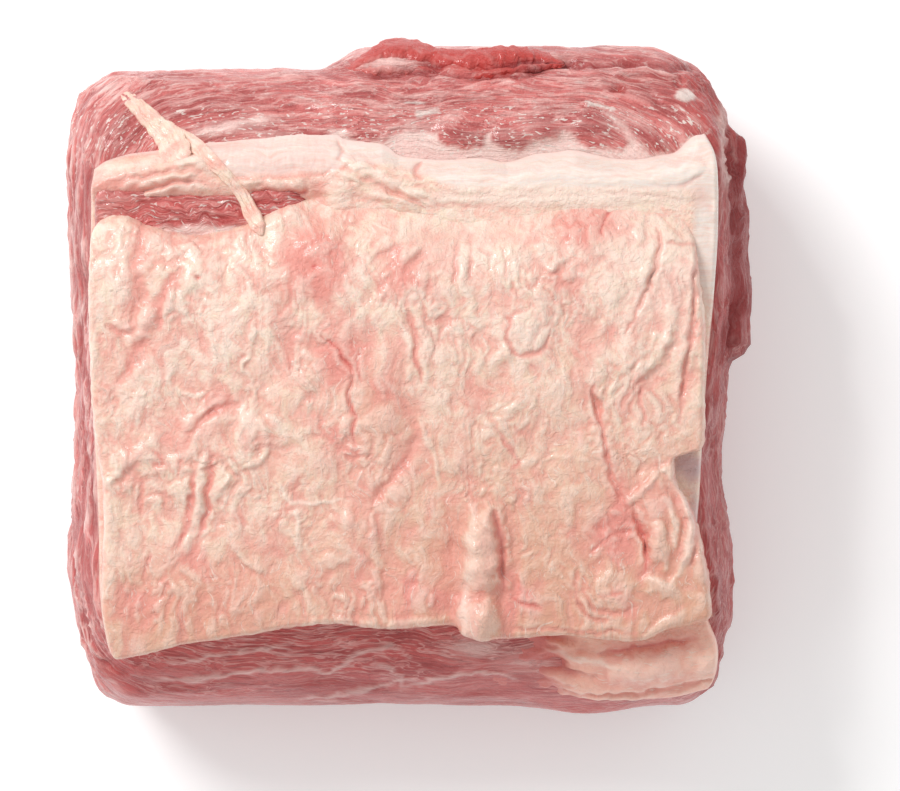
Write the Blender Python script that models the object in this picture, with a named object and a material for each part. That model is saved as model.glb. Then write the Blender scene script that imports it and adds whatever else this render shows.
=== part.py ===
"""Boneless beef ribeye roast, resting on its rib side with the fat cap up.

X runs between the two cut faces, +Y is the chine side and Z is up. Sizes are in millimetres
until the objects are made. The block of meat is a cut-up box whose points are moved onto
rounded sections; the layers above it are sheets laid along its top, each with its own outline
and thickness.
"""

import math

import bmesh
import bpy
import numpy as np
from mathutils import Vector, noise

MM = 0.001
GAP = 0.35

# The block of meat
HALF_LENGTH = 90.0
FRONT_Y, BACK_Y = -91.0, 84.8
MEAT_TOP = 72.5
TOP_TILT = 0.04
TOP_CROWN = 1.2
FRONT_RADIUS, BACK_RADIUS, FOOT_RADIUS = 31.0, 27.0, 14.0
RIM_RADIUS, UPRIGHT_EXTRA_RADIUS = 4.5, 6.0
CORE_Y, CORE_Z = -3.0, 36.0
LEFT_BULGE_X, LEFT_BULGE_Z, LEFT_LEAN = -95.0, 42.0, 11.0
RIGHT_BULGE_X, RIGHT_BULGE_Z, RIGHT_LEAN = 88.0, 45.0, 4.5
FOOT_TUCK = 4.5
LEFT_FRONT_CUT = 8.5
LEFT_BACK_CUT = 8.0
RIGHT_FRONT_CUT = 3.0
RIGHT_BACK_CUT = 3.0
CHINE_TIER = 6.2

# The relief of the meat
BUNDLE_RELIEF = 1.0
CREASE_DEPTH, CREASE_WIDTH = 2.6, 2.6
ROLL_HEIGHT, ROLL_WIDTH = 2.2, 5.0
SEAM_LINE_DEPTH, SEAM_LINE_WIDTH = 1.3, 3.0
CUT_FACE_RELIEF = 0.9

# The layers above the meat
SEAM_THICKNESS = 3.0
BACKSTRAP_THICKNESS = 4.6
BLADE_THICKNESS = 3.4
BLADE_HIDDEN = 1.3
CAP_THICKNESS = 8.6
CAP_UNEVENNESS = 0.5
CAP_CLEARANCE = 1.5
SHEET_RIM = 4.5
SHEET_RIM_SHARE, CAP_RIM_SHARE = 0.35, 0.5

COLOURS = {
    "meat": (0.60, 0.19, 0.17, 1.0),
    "seam_fat": (0.91, 0.72, 0.64, 1.0),
    "blade_meat": (0.62, 0.15, 0.14, 1.0),
    "fat_cap": (0.86, 0.58, 0.48, 1.0),
}
ROUGHNESS = {"meat": 0.42, "seam_fat": 0.38, "blade_meat": 0.4, "fat_cap": 0.45}


def ramp(start, end, value):
    """0 before start, 1 after end, with a soft step between them."""
    t = np.clip((value - start) / (end - start), 0.0, 1.0)
    return t * t * (3.0 - 2.0 * t)


def mound(x, y, centre, radii):
    """A smooth mound of height 1 over an elliptical patch."""
    return np.exp(-(((x - centre[0]) / radii[0]) ** 2) - ((y - centre[1]) / radii[1]) ** 2)


def distance_to_line(x, y, points):
    """The distance from each point to a line through the given corners, and the share along it."""
    points = np.array(points, float)
    best = np.full(np.shape(x), np.inf)
    along = np.zeros(np.shape(x))
    spans = len(points) - 1
    for i in range(spans):
        start, step = points[i], points[i + 1] - points[i]
        t = np.clip(((x - start[0]) * step[0] + (y - start[1]) * step[1]) / (step @ step), 0, 1)
        d = np.hypot(x - start[0] - t * step[0], y - start[1] - t * step[1])
        nearer = d < best
        best = np.where(nearer, d, best)
        along = np.where(nearer, (i + t) / spans, along)
    return best, along


def ridge(x, y, points, width):
    """A rounded ridge of height 1 along a line, fading at its two ends."""
    d, along = distance_to_line(x, y, points)
    return np.exp(-((d / width) ** 2)) * np.sqrt(np.clip(np.sin(math.pi * along), 0, 1))


def uneven(x, y, z, wavelength, seed):
    """Smooth noise between about -1 and 1."""
    offset = Vector((seed, 3.1 * seed, 7.7 * seed))
    points = np.stack(np.broadcast_arrays(x, y, z), -1).reshape(-1, 3) / np.array(wavelength)
    values = [noise.noise(Vector(point) + offset) for point in points]
    return np.array(values).reshape(np.shape(x)) * 1.6


def left_face(y, z):
    """X of the cut face on the left: it bulges at mid height and leans in to the top rim."""
    above = np.clip((z - LEFT_BULGE_Z) / (MEAT_TOP - LEFT_BULGE_Z), 0, 1.1)
    below = np.clip((LEFT_BULGE_Z - z) / LEFT_BULGE_Z, 0, 1)
    waist = 3.4 * np.exp(-((y / 34) ** 2)) * (1 - 0.4 * above)
    corners = LEFT_FRONT_CUT * ramp(-40, -92, y) ** 1.5 + LEFT_BACK_CUT * ramp(56, 92, y) ** 1.3
    return LEFT_BULGE_X + LEFT_LEAN * above**1.7 + FOOT_TUCK * below**2 + waist + corners


def right_face(y, z):
    """X of the cut face on the right, with the loose rib meat that hangs out along its back half."""
    above = np.clip((z - RIGHT_BULGE_Z) / (MEAT_TOP - RIGHT_BULGE_Z), 0, 1.1)
    below = np.clip((RIGHT_BULGE_Z - z) / RIGHT_BULGE_Z, 0, 1)
    waist = 4.5 * np.exp(-(((y + 25) / 25) ** 2))
    belly = 2.6 * np.exp(-(((y + 52) / 22) ** 2))
    flaps = ramp(2, 12, y) * (1 - ramp(66, 78, y)) * np.exp(-(((z - 47) / 16) ** 4))
    teeth = 5.6 + 1.6 * np.sin(y * 0.33) * np.sin(y * 0.12 + 1)
    lean = (RIGHT_LEAN + waist) * above**1.5
    corners = RIGHT_FRONT_CUT * ramp(-68, -92, y) + RIGHT_BACK_CUT * ramp(54, 76, y)
    return RIGHT_BULGE_X + belly * (1 - above) + teeth * flaps - lean - FOOT_TUCK * below**2 - corners


def chine_tier(x):
    """How far the second muscle behind the backstrap reaches, as a share of its full size."""
    return ramp(-26, -10, x) * (1 - ramp(66, 88, x))


def top_height(x, y):
    """Height of the meat under the fat, from the front shoulder to the back one."""
    front = np.clip(FRONT_Y + FRONT_RADIUS - y, 0, FRONT_RADIUS - 0.5)
    spread = 1 + chine_tier(x) * CHINE_TIER / BACK_RADIUS
    back = np.clip((y - BACK_Y + BACK_RADIUS) / spread, 0, BACK_RADIUS - 0.5)
    z = MEAT_TOP - FRONT_RADIUS + np.sqrt(FRONT_RADIUS**2 - front**2)
    z += np.sqrt(BACK_RADIUS**2 - back**2) - BACK_RADIUS
    return z * (1 + TOP_TILT * y / MEAT_TOP) - TOP_CROWN * (x / HALF_LENGTH) ** 2


def on_meat(x, y, offset):
    """The point at this distance above the meat, square to its surface."""
    step = 0.5
    z = top_height(x, y)
    slope_x = (top_height(x + step, y) - top_height(x - step, y)) / (2 * step)
    slope_y = (top_height(x, y + step) - top_height(x, y - step)) / (2 * step)
    length = np.sqrt(slope_x**2 + slope_y**2 + 1)
    return np.stack(
        [x - offset * slope_x / length, y - offset * slope_y / length, z + offset / length], -1
    )


def meat_relief(x, y, z):
    """Muscle bundles, the crease in front of the second muscle and the seams of the front side."""
    bare_back = ramp(67, 73, y) * ramp(30, 45, z)
    draped = ramp(18, 30, x) * ramp(40, 48, z)
    bare_front = (1 - ramp(-84, -77, y)) * ramp(25, 40, z) * (1 - draped)
    bundles = BUNDLE_RELIEF * uneven(x, y, z, (30, 11, 11), 2.0) * (bare_back + bare_front)
    crease_path = [(-18, 84), (20, 82), (44, 85), (62, 83), (74, 80), (80, 72), (83, 64)]
    crease = -CREASE_DEPTH * ridge(x, y, crease_path, CREASE_WIDTH) * ramp(52, 60, z)
    roll_path = [(-14, 62), (6, 66), (30, 63), (54, 58)]
    roll = ROLL_HEIGHT * ridge(x, z, roll_path, ROLL_WIDTH) * ramp(72, 80, y)
    seam_path = [(-72, 58), (-52, 54), (-24, 60), (-8, 50), (16, 58), (40, 50)]
    seam = -SEAM_LINE_DEPTH * ridge(x, z, seam_path, SEAM_LINE_WIDTH) * bare_front
    faces = CUT_FACE_RELIEF * uneven(x, y, z, (14, 26, 9), 5.0) * ramp(78, 86, np.abs(x))
    return bundles + crease + roll + seam + faces * ramp(4, 14, z) * (1 - ramp(58, 70, z))


def seam_body(x, y, spread):
    """The lower fat without its folds; a larger spread makes the backstrap's sides wider."""
    band_y = 55 - 5 * ramp(-30, 10, x) + 2 * ramp(50, 75, x)
    band_half = 5.5 + 1.5 * ramp(-30, 10, x) + spread
    backstrap = np.exp(-(((y - band_y) / band_half) ** 4))
    corner = 1.8 * mound(x, y, (64, -78), (22, 9))
    return SEAM_THICKNESS + BACKSTRAP_THICKNESS * backstrap + corner


def seam_thickness(x, y):
    """The lower fat: thick in the backstrap, thin under the cap, thick again at its front corner."""
    fold = 1.6 * ridge(x, y, [(60, -76), (72, -75), (81, -77)], 2.6)
    folds = 0.8 * ridge(x, y, [(-82, 55), (-60, 56), (-36, 59), (-14, 57)], 2.0)
    folds -= 0.7 * ridge(x, y, [(-70, 52), (-52, 53), (-30, 54), (0, 51)], 1.8)
    return seam_body(x, y, 0.0) + fold + folds


def blade_thickness(x, y):
    """The thin muscle between the backstrap and the cap, thinning out below the cap."""
    showing = ramp(38, 46, y)
    return (BLADE_HIDDEN + (BLADE_THICKNESS - BLADE_HIDDEN) * showing) * (1 - 0.4 * ramp(-40, -24, x))


def blade_room(x, y):
    """How much the cap is lifted where it lies on the blade muscle."""
    return (blade_thickness(x, y) + 3 * GAP) * (1 - ramp(-24, -12, x)) * ramp(20, 31, y)


def cap_thickness(x, y):
    """The upper fat with its folds, the round knob near the left and the pleat at the front edge."""
    swell = 1.1 * mound(x, y, (-8, 0), (60, 52)) - 0.8 * mound(x, y, (78, 30), (14, 30))
    ridges = (
        ([(-8.5, 11.5), (-13, 14.5), (-17, 9.5)], 2.2, 1.0),
        ([(-39.5, 14), (-42, 5.5), (-39.5, -7)], 2.2, 1.3),
        ([(-36, -10), (-36.5, -22), (-47, -29), (-50, -33)], 2.4, 1.3),
        ([(-52, -20), (-55, -34), (-57, -48)], 2.4, 1.2),
        ([(-78, -25), (-71, -23), (-65, -22)], 2.2, 1.0),
        ([(-39, -64), (-32, -55), (-13, -47)], 2.4, 1.2),
        ([(19, -38), (20, -50), (17, -64)], 3.4, 3.4),
        ([(26, -44), (27, -56), (25, -66)], 3.0, 1.0),
        ([(69, -26), (74, -35), (72, -48), (64, -52)], 3.0, 2.4),
        ([(50, -1), (52, -15), (57, -30)], 2.4, 1.2),
        ([(72, 18), (69, 6), (61, -1)], 2.2, 1.1),
        ([(35, 34), (40, 29), (45, 34)], 2.0, 0.9),
    )
    grooves = (
        ([(-22, 10), (-17, 6), (-13, 0)], 2.4, 1.6),
        ([(-57, -15), (-51, -10), (-45, -7)], 2.2, 1.2),
        ([(4, -17), (-3, -27), (-10, -34)], 2.4, 1.3),
        ([(-1, 24), (3, 30), (6, 33)], 2.2, 1.2),
        ([(69, 38), (66, 24), (59, 12)], 2.2, 1.2),
        ([(23, -42), (24, -50), (24, -60)], 2.0, 1.8),
        ([(76, 28), (75, 12), (73, -8)], 2.2, 1.2),
    )
    thickness = CAP_THICKNESS + swell + CAP_UNEVENNESS * uneven(x, y, 0, (16, 24, 1), 9.0)
    for points, width, height in ridges:
        thickness = thickness + height * ridge(x, y, points, width)
    for points, width, depth in grooves:
        thickness = thickness - depth * ridge(x, y, points, width)
    thickness += 2.0 * mound(x, y, (-68, 15.5), (2.6, 3.4))
    thickness += 1.2 * mound(x, y, (55, -56), (7.5, 5.5))
    return thickness


def cut_box(lines):
    """A box spanning the given lines along X, Y and Z and cut at each of them."""
    bm = bmesh.new()
    bmesh.ops.create_cube(bm, size=1.0)
    for vert in bm.verts:
        vert.co = [line[-1] if vert.co[i] > 0 else line[0] for i, line in enumerate(lines)]
    for axis, cuts in enumerate(lines):
        normal = Vector((0, 0, 0))
        normal[axis] = 1.0
        for cut in cuts[1:-1]:
            geometry = bm.verts[:] + bm.edges[:] + bm.faces[:]
            bmesh.ops.bisect_plane(
                bm, geom=geometry, plane_co=normal * cut, plane_no=normal, dist=1e-5
            )
    return bm


def thin_underside(bm, kept):
    """Dissolves the cuts across the underside, apart from the kept lines along X and Y."""
    bm.normal_update()
    spare = []
    for edge in bm.edges:
        if any(face.normal.z > -0.9 for face in edge.link_faces):
            continue
        start, end = (vert.co for vert in edge.verts)
        axis = 0 if abs(start.x - end.x) < 1e-5 else 1
        if min(abs(start[axis] - line) for line in kept[axis]) > 1e-4:
            spare.append(edge)
    bmesh.ops.dissolve_edges(bm, edges=spare, use_verts=True)


def move_points(bm, shape):
    """Moves the points of a cut-up box with a function that takes and returns arrays."""
    points = np.array([vert.co for vert in bm.verts])
    for vert, point in zip(bm.verts, shape(points)):
        vert.co = point * MM


def finish(bm, name, collection):
    """Makes the object of a node, with its own material."""
    bmesh.ops.triangulate(bm, faces=bm.faces[:])
    bmesh.ops.recalc_face_normals(bm, faces=bm.faces[:])
    mesh = bpy.data.meshes.new(name)
    bm.to_mesh(mesh)
    bm.free()
    mesh.shade_smooth()
    material = bpy.data.materials.new(name)
    material.use_nodes = True
    principled = material.node_tree.nodes["Principled BSDF"]
    principled.inputs["Base Color"].default_value = COLOURS[name]
    principled.inputs["Roughness"].default_value = ROUGHNESS[name]
    mesh.materials.append(material)
    obj = bpy.data.objects.new(name, mesh)
    collection.objects.link(obj)
    return obj


def rounded_section(y, z):
    """Moves points on the border of the section's rectangle onto its rounded corners."""
    upper = z > CORE_Z
    radius = np.where(upper, np.where(y > CORE_Y, BACK_RADIUS, FRONT_RADIUS), FOOT_RADIUS)
    hub_y = np.clip(y, FRONT_Y + radius, BACK_Y - radius)
    hub_z = np.clip(z, radius, MEAT_TOP - radius)
    reach = np.maximum(np.hypot(y - hub_y, z - hub_z), 1e-9)
    return hub_y + (y - hub_y) / reach * radius, hub_z + (z - hub_z) / reach * radius


def meat_shape(points):
    """Moves the points of the cut-up box onto the block of meat."""
    x, y, z = points.T
    reach_y = np.where(y > CORE_Y, BACK_Y - CORE_Y, CORE_Y - FRONT_Y)
    reach_z = np.where(z > CORE_Z, MEAT_TOP - CORE_Z, CORE_Z)
    share = np.maximum(np.abs(y - CORE_Y) / reach_y, np.abs(z - CORE_Z) / reach_z)
    share = np.maximum(share, 1e-6)
    border_y, border_z = rounded_section(
        CORE_Y + (y - CORE_Y) / share, CORE_Z + (z - CORE_Z) / share
    )
    spoke = np.hypot(border_y - CORE_Y, border_z - CORE_Z)

    # The rim between a cut face and the sides is rounded in the plane of the spoke
    upright = ramp(0.7, 1.0, np.abs(y - CORE_Y) / share / reach_y)
    radius = RIM_RADIUS + UPRIGHT_EXTRA_RADIUS * upright
    from_end = HALF_LENGTH - np.abs(x)
    from_border = (1 - share) * spoke
    a = np.clip(radius - from_end, 0, None)
    b = np.clip(radius - from_border, 0, None)
    size = np.maximum(np.hypot(a, b), 1e-9)
    in_rim = (a > 0) & (b > 0)
    from_end = np.where(in_rim, radius * (1 - a / size), from_end)
    from_border = np.where(in_rim, radius * (1 - b / size), from_border)
    scale = (spoke - from_border) / spoke
    y = CORE_Y + (border_y - CORE_Y) * scale
    z = CORE_Z + (border_z - CORE_Z) * scale

    along = (np.sign(x) * (HALF_LENGTH - from_end) / HALF_LENGTH + 1) / 2
    x = left_face(y, z) * (1 - along) + right_face(y, z) * along
    behind = (y - BACK_Y + BACK_RADIUS) / BACK_RADIUS
    y = y + np.where(behind > 0, CHINE_TIER * chine_tier(x) * behind, 0)
    lift = 1 - from_border / np.maximum(spoke, 1)
    z = z * (1 + TOP_TILT * y / MEAT_TOP) - TOP_CROWN * (x / HALF_LENGTH) ** 2 * (z / MEAT_TOP)
    relief = meat_relief(x, y, z) * lift
    sideways = np.where(np.abs(along - 0.5) > 0.47, np.sign(x) * 60.0, 0.0)
    outward = np.stack([sideways, y - CORE_Y, z - CORE_Z], -1)
    outward /= np.linalg.norm(outward, axis=1)[:, None]
    moved = np.stack([x, y, z], -1) + outward * relief[:, None]
    moved[:, 2] = np.where(moved[:, 2] < 0.4, 0.0, moved[:, 2])
    return moved


def spaced(stops, counts):
    """Lines between the stops, evenly spaced in each stretch."""
    lines = [
        np.linspace(start, end, count, endpoint=False)
        for start, end, count in zip(stops, stops[1:], counts)
    ]
    return [float(line) for line in np.concatenate(lines + [[stops[-1]]])]


def build_meat(collection):
    end = HALF_LENGTH
    rim = RIM_RADIUS + UPRIGHT_EXTRA_RADIUS
    x_lines = spaced([-end, -end + rim, end - rim, end], [4, 28, 4])
    y_lines = spaced(
        [FRONT_Y, FRONT_Y + FRONT_RADIUS, 46, BACK_Y - BACK_RADIUS, BACK_Y], [8, 8, 3, 8]
    )
    z_lines = spaced([0, FOOT_RADIUS, MEAT_TOP - FRONT_RADIUS, MEAT_TOP], [3, 5, 8])
    bm = cut_box([x_lines, y_lines, z_lines])
    kept = [x_lines[:4] + x_lines[4:-4:4] + x_lines[-4:], y_lines[:3] + y_lines[3:-3:3] + y_lines[-3:]]
    thin_underside(bm, kept)
    move_points(bm, meat_shape)
    return finish(bm, "meat", collection)


def soft_line(corners, shares):
    """Points along a line through the corners, with the corners eased."""
    corners = np.array(corners, float)
    lengths = np.hypot(*np.diff(corners, axis=0).T)
    stations = np.concatenate([[0], np.cumsum(lengths)]) / lengths.sum()
    fine = np.linspace(0, 1, 241)
    line = np.stack([np.interp(fine, stations, corners[:, i]) for i in range(2)], -1)
    for _ in range(40):
        line[1:-1] = (line[:-2] + line[2:] + 2 * line[1:-1]) / 4
    return np.stack([np.interp(shares, fine, line[:, i]) for i in range(2)], -1)


def patch(outline, u, v):
    """The plan position in a four-sided outline: u runs left to right and v front to back."""
    front = soft_line(outline["front"], u)
    back = soft_line(outline["back"], u)
    left = soft_line(outline["left"], v)
    right = soft_line(outline["right"], v)
    corners = [soft_line(outline[side], [0.0, 1.0]) for side in ("front", "back")]
    u, v = u[:, None], v[:, None]
    across = front * (1 - v) + back * v
    along = left * (1 - u) + right * u
    both = (corners[0][0] * (1 - u) + corners[0][1] * u) * (1 - v)
    both += (corners[1][0] * (1 - u) + corners[1][1] * u) * v
    return across + along - both


def build_sheet(name, outline, underside, thickness, lines, rim_share, collection):
    """A layer along the top of the meat, from a four-sided outline and two height functions.

    Its thickness at the rim is the rim share of the full one.
    """
    bm = cut_box([*lines, [0.0, 1.0]])
    thin_underside(bm, [line[:2] + line[2:-2:2] + line[-2:] for line in lines])
    width = abs(outline["front"][-1][0] - outline["front"][0][0])
    depth = abs(outline["left"][-1][1] - outline["left"][0][1])

    def shape(points):
        u, v, w = points.T
        plan = patch(outline, u, v)
        x, y = plan.T
        inset = np.minimum(np.minimum(u, 1 - u) * width, np.minimum(v, 1 - v) * depth)
        bite = 1 - np.clip(inset / SHEET_RIM, 0, 1)
        rim = rim_share + (1 - rim_share) * np.sqrt(1 - bite**2)
        return on_meat(x, y, underside(x, y) + w * rim * thickness(x, y))

    move_points(bm, shape)
    return finish(bm, name, collection)


CAP_OUTLINE = {
    "back": [
        (-83.8, 38), (-80, 42.5), (-75.4, 43.4), (-67.4, 41), (-55.5, 38.4), (-40.9, 41),
        (-30.3, 45.5), (-15.7, 45.5), (6.8, 42.9), (17.4, 40.2), (30.7, 43.7), (51.9, 45.5),
        (66, 44.5), (74.5, 41),
    ],
    "front": [
        (-78.5, -69), (-72.7, -70), (-59.5, -68.8), (-40.9, -66.7), (-19.7, -64.8),
        (-1.2, -65.3), (13.4, -64.8), (17.4, -66.8), (25.4, -67), (41.3, -67), (62.5, -67.8),
        (81.8, -65.5),
    ],
    "left": [(-78.5, -69), (-80.7, -57), (-79.9, -38), (-80.7, -24.7), (-83.3, -6.2), (-83.8, 38)],
    "right": [
        (81.8, -65.5), (81.2, -57), (78.4, -40.6), (74.4, -34.2), (69.9, -26), (70.9, -19.4),
        (73.1, -6.2), (75.2, 9.8), (77.6, 33), (74.5, 41),
    ],
}
SEAM_OUTLINE = {
    "back": [
        (-82.8, 57.5), (-64, 61.2), (-57.1, 61.7), (-36.4, 64.9), (-19.7, 65.1), (-5.9, 62.5),
        (3.1, 57), (10.8, 57.2), (28.8, 58.2), (39.1, 62.5), (43.6, 63.8), (55.3, 60.9),
        (64, 58.8), (72, 59.3), (80.5, 64),
    ],
    "front": [
        (-79, -65.5), (-59.5, -65.5), (-40.9, -63.4), (-19.7, -61.6), (13, -62), (28, -65),
        (34, -72), (38, -82), (44, -85), (60, -85.7), (80, -83.5),
    ],
    "left": [(-79, -65.5), (-81.5, -40), (-82, 0), (-82.8, 57.5)],
    "right": [
        (80, -83.5), (83, -72), (81.4, -60), (78.6, -40), (79.6, -20), (80.6, -8), (82.8, 33), (80.5, 64),
    ],
}
BLADE_OUTLINE = {
    "back": [(-83.2, 50), (-73, 49.8), (-68, 47.4), (-52.6, 47.4), (-43, 47.1), (-38, 49), (-26, 48.6)],
    "front": [(-83.2, 32), (-55, 32), (-26, 40)],
    "left": [(-83.2, 32), (-83.2, 50)],
    "right": [(-26, 40), (-26, 48.6)],
}


def above_meat(x, y):
    """The underside of the lower fat."""
    return GAP * (2 - ramp(FRONT_Y + 25, FRONT_Y + 33, y))


def above_seam(x, y):
    """The underside of the thin muscle."""
    return above_meat(x, y) + seam_body(x, y, CAP_CLEARANCE) + 2 * GAP


def cap_underside(x, y):
    """The underside of the cap, lifted where it lies on the thin muscle."""
    return above_seam(x, y) + blade_room(x, y)


def build_layers(collection):
    across = spaced([0, 0.03, 0.6, 0.97, 1], [2, 19, 13, 2])
    deep = spaced([0, 0.03, 0.17, 0.74, 0.97, 1], [2, 6, 5, 7, 2])
    build_sheet(
        "seam_fat", SEAM_OUTLINE, above_meat, seam_thickness, (across, deep), SHEET_RIM_SHARE, collection
    )
    across = spaced([0, 0.06, 0.94, 1], [2, 14, 2])
    deep = spaced([0, 0.15, 0.85, 1], [1, 4, 2])
    build_sheet(
        "blade_meat", BLADE_OUTLINE, above_seam, blade_thickness, (across, deep), SHEET_RIM_SHARE, collection
    )
    across = spaced([0, 0.03, 0.97, 1], [2, 42, 2])
    deep = spaced([0, 0.045, 0.955, 1], [2, 30, 2])
    build_sheet(
        "fat_cap", CAP_OUTLINE, cap_underside, cap_thickness, (across, deep), CAP_RIM_SHARE, collection
    )


def clear_scene():
    for obj in list(bpy.data.objects):
        bpy.data.objects.remove(obj, do_unlink=True)


def main():
    clear_scene()
    roast = bpy.data.collections.new("beef_ribeye_roast")
    bpy.context.scene.collection.children.link(roast)
    build_meat(roast)
    build_layers(roast)


main()
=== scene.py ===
"""A boneless beef ribeye roast: the looks of its meat, fat cap, strap and loose strands.

Every piece starts as a grid or a box made with Blender's mesh tools. Its points are then moved
onto the roast, in millimetres, and carved with strokes whose places are read off the photograph.
"""

import itertools
import math

import bmesh
import bpy
import numpy as np
from bpy.props import FloatProperty, FloatVectorProperty, PointerProperty
from bpy.types import Operator, Panel, PropertyGroup
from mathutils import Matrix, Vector


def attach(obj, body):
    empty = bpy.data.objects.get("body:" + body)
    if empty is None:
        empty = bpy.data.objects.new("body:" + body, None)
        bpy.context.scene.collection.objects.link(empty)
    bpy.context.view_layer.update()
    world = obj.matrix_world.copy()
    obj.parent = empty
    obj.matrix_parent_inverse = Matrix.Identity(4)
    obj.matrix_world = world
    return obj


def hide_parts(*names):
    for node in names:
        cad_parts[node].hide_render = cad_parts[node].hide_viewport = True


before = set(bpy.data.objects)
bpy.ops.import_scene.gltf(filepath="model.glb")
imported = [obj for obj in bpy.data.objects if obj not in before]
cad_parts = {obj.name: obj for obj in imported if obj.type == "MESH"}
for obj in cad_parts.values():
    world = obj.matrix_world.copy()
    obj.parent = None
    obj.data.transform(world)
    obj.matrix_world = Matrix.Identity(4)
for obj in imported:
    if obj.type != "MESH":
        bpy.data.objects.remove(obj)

bl_info = {
    "name": "Beef Ribeye Roast",
    "version": (1, 0, 0),
    "blender": (4, 5, 0),
    "location": "View3D > Sidebar > Roast",
    "description": "Models a raw boneless ribeye roast with its fat cap",
    "category": "Add Mesh",
}

MM = 0.001

# The smooth noise: what turns cells into numbers, and what brings its range to about -1 to 1
NOISE_PRIMES = np.array([73856093, 19349663, 83492791])
NOISE_GAIN = 1.6

# The block of meat, as in the frame
HALF_LENGTH = 90.0
FRONT_Y, BACK_Y = -91.0, 84.8
MEAT_TOP = 72.5
TOP_TILT = 0.04
TOP_CROWN = 1.2
FRONT_RADIUS, BACK_RADIUS, FOOT_RADIUS = 31.0, 27.0, 14.0
RIM_RADIUS, UPRIGHT_EXTRA_RADIUS = 4.5, 6.0
CORE_Y, CORE_Z = -3.0, 36.0
LEFT_BULGE_X, LEFT_BULGE_Z, LEFT_LEAN = -94.0, 42.0, 11.0
LEFT_FRONT_CUT, LEFT_BACK_CUT = 8.0, 6.5
RIGHT_BULGE_X, RIGHT_BULGE_Z, RIGHT_LEAN = 88.0, 45.0, 4.5
RIGHT_FRONT_CUT, RIGHT_BACK_CUT = 3.0, 3.0
FOOT_TUCK = 4.5
CHINE_TIER = 6.2

# The layers above the meat, with the offset from it at which each one's outline is seen
SEAM_THICKNESS = 3.3
BACKSTRAP_THICKNESS = 4.6
SEAM_EDGE = 5
BLADE_BASE, BLADE_TOP = 2.6, 6.6
CAP_BASE = 5.4
CAP_THICKNESS = 8.9
CAP_EDGE = CAP_BASE + 6
FLAP_BASE, FLAP_EDGE = -1.5, 2.0
STRAND_BASE, STRAND_EDGE = -0.5, 4.0

# The form of each slab: its size, the rounding of its left, right, front and back rims, and how far
# those tuck in under it
CAP_SIZE = (166.0, 112.0)
CAP_FORM = CAP_SIZE, (3.2, 2.6, 2.0, 4.0), 2.4
SEAM_FORM = (166.0, 150.0), (1.6, 1.6, 2.2, 0), 1.2
BLADE_FORM = (57.0, 19.0), (1.6, 4, 2, 3.5), 0.5
FLAP_FORM = (64.0, 9.0), (3, 6, 1.6, 1.6), 1.0

# The photograph: the eye is straight above, so pixels turn into places at any height
PHOTO_WIDTH = 900
PIXEL_MM = 0.265
EYE_PIXEL = (450.0, 395.5)
EYE_X, EYE_Y = 12.1, -5.0
SHARP_HEIGHT = 87.0
EYE_DISTANCE = 900.0
SENSOR_MM = 36.0

# The floor and what the lights point at, in metres
FLOOR_Z = -0.0002
LIGHT_TARGET = (0, 0, 0.05)

# How finely each piece is cut: along X, Y and Z, or the top and the underside of a slab
MEAT_CELLS = (180, 136, 72)
SEAM_CELLS = (360, 220), (40, 30)
BLADE_CELLS = (190, 64), (20, 8)
CAP_CELLS = (360, 250), (40, 28)
STRAND_CELLS = (150, 26), (12, 3)
FLAP_CELLS = (200, 40), (20, 4)
RIM_ROWS = 5


def seen_at(points):
    """The pixel of the photograph at which each point shows."""
    shrink = EYE_DISTANCE / (EYE_DISTANCE + SHARP_HEIGHT - points[:, 2]) / PIXEL_MM
    px = EYE_PIXEL[0] + (points[:, 0] - EYE_X) * shrink
    py = EYE_PIXEL[1] - (points[:, 1] - EYE_Y) * shrink
    return px, py


def in_rows(numbers, size=2):
    """A flat list of numbers as rows, such as the pixels of an outline's corners."""
    return np.array(numbers, float).reshape(-1, size)


def place_of(pixels, offset):
    """The plan positions of pixels of the photograph, at an offset above the meat."""
    height = np.full(len(pixels), MEAT_TOP + offset)
    for _ in range(4):
        grow = PIXEL_MM * (EYE_DISTANCE + SHARP_HEIGHT - height) / EYE_DISTANCE
        x = EYE_X + (pixels[:, 0] - EYE_PIXEL[0]) * grow
        y = EYE_Y - (pixels[:, 1] - EYE_PIXEL[1]) * grow
        height = top_height(x, y) + offset
    return np.stack([x, y], -1)


def ramp(start, end, value):
    """0 before start, 1 after end, with a soft step between them."""
    t = np.clip((value - start) / (end - start), 0.0, 1.0)
    return t * t * (3.0 - 2.0 * t)


def hill(value, centre, half, power=2):
    """A smooth hill of height 1 round a value; a larger power makes its sides steeper."""
    return np.exp(-(np.abs((value - centre) / half) ** power))


def mound(x, y, centre, radii, power=2):
    """A smooth mound of height 1 over an elliptical patch."""
    return np.exp(-(((x - centre[0]) / radii[0]) ** power) - ((y - centre[1]) / radii[1]) ** power)


def scrambled(key, salt):
    """A number from 0 to 1 for each whole-numbered key, without any pattern."""
    mixed = (key * 1274126177 + salt * 668265263) & 0xFFFFFFFF
    mixed = ((mixed ^ (mixed >> 15)) * 2246822519) & 0xFFFFFFFF
    mixed = ((mixed ^ (mixed >> 13)) * 3266489917) & 0xFFFFFFFF
    return ((mixed ^ (mixed >> 16)) & 0xFFFF) / 65536.0


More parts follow.
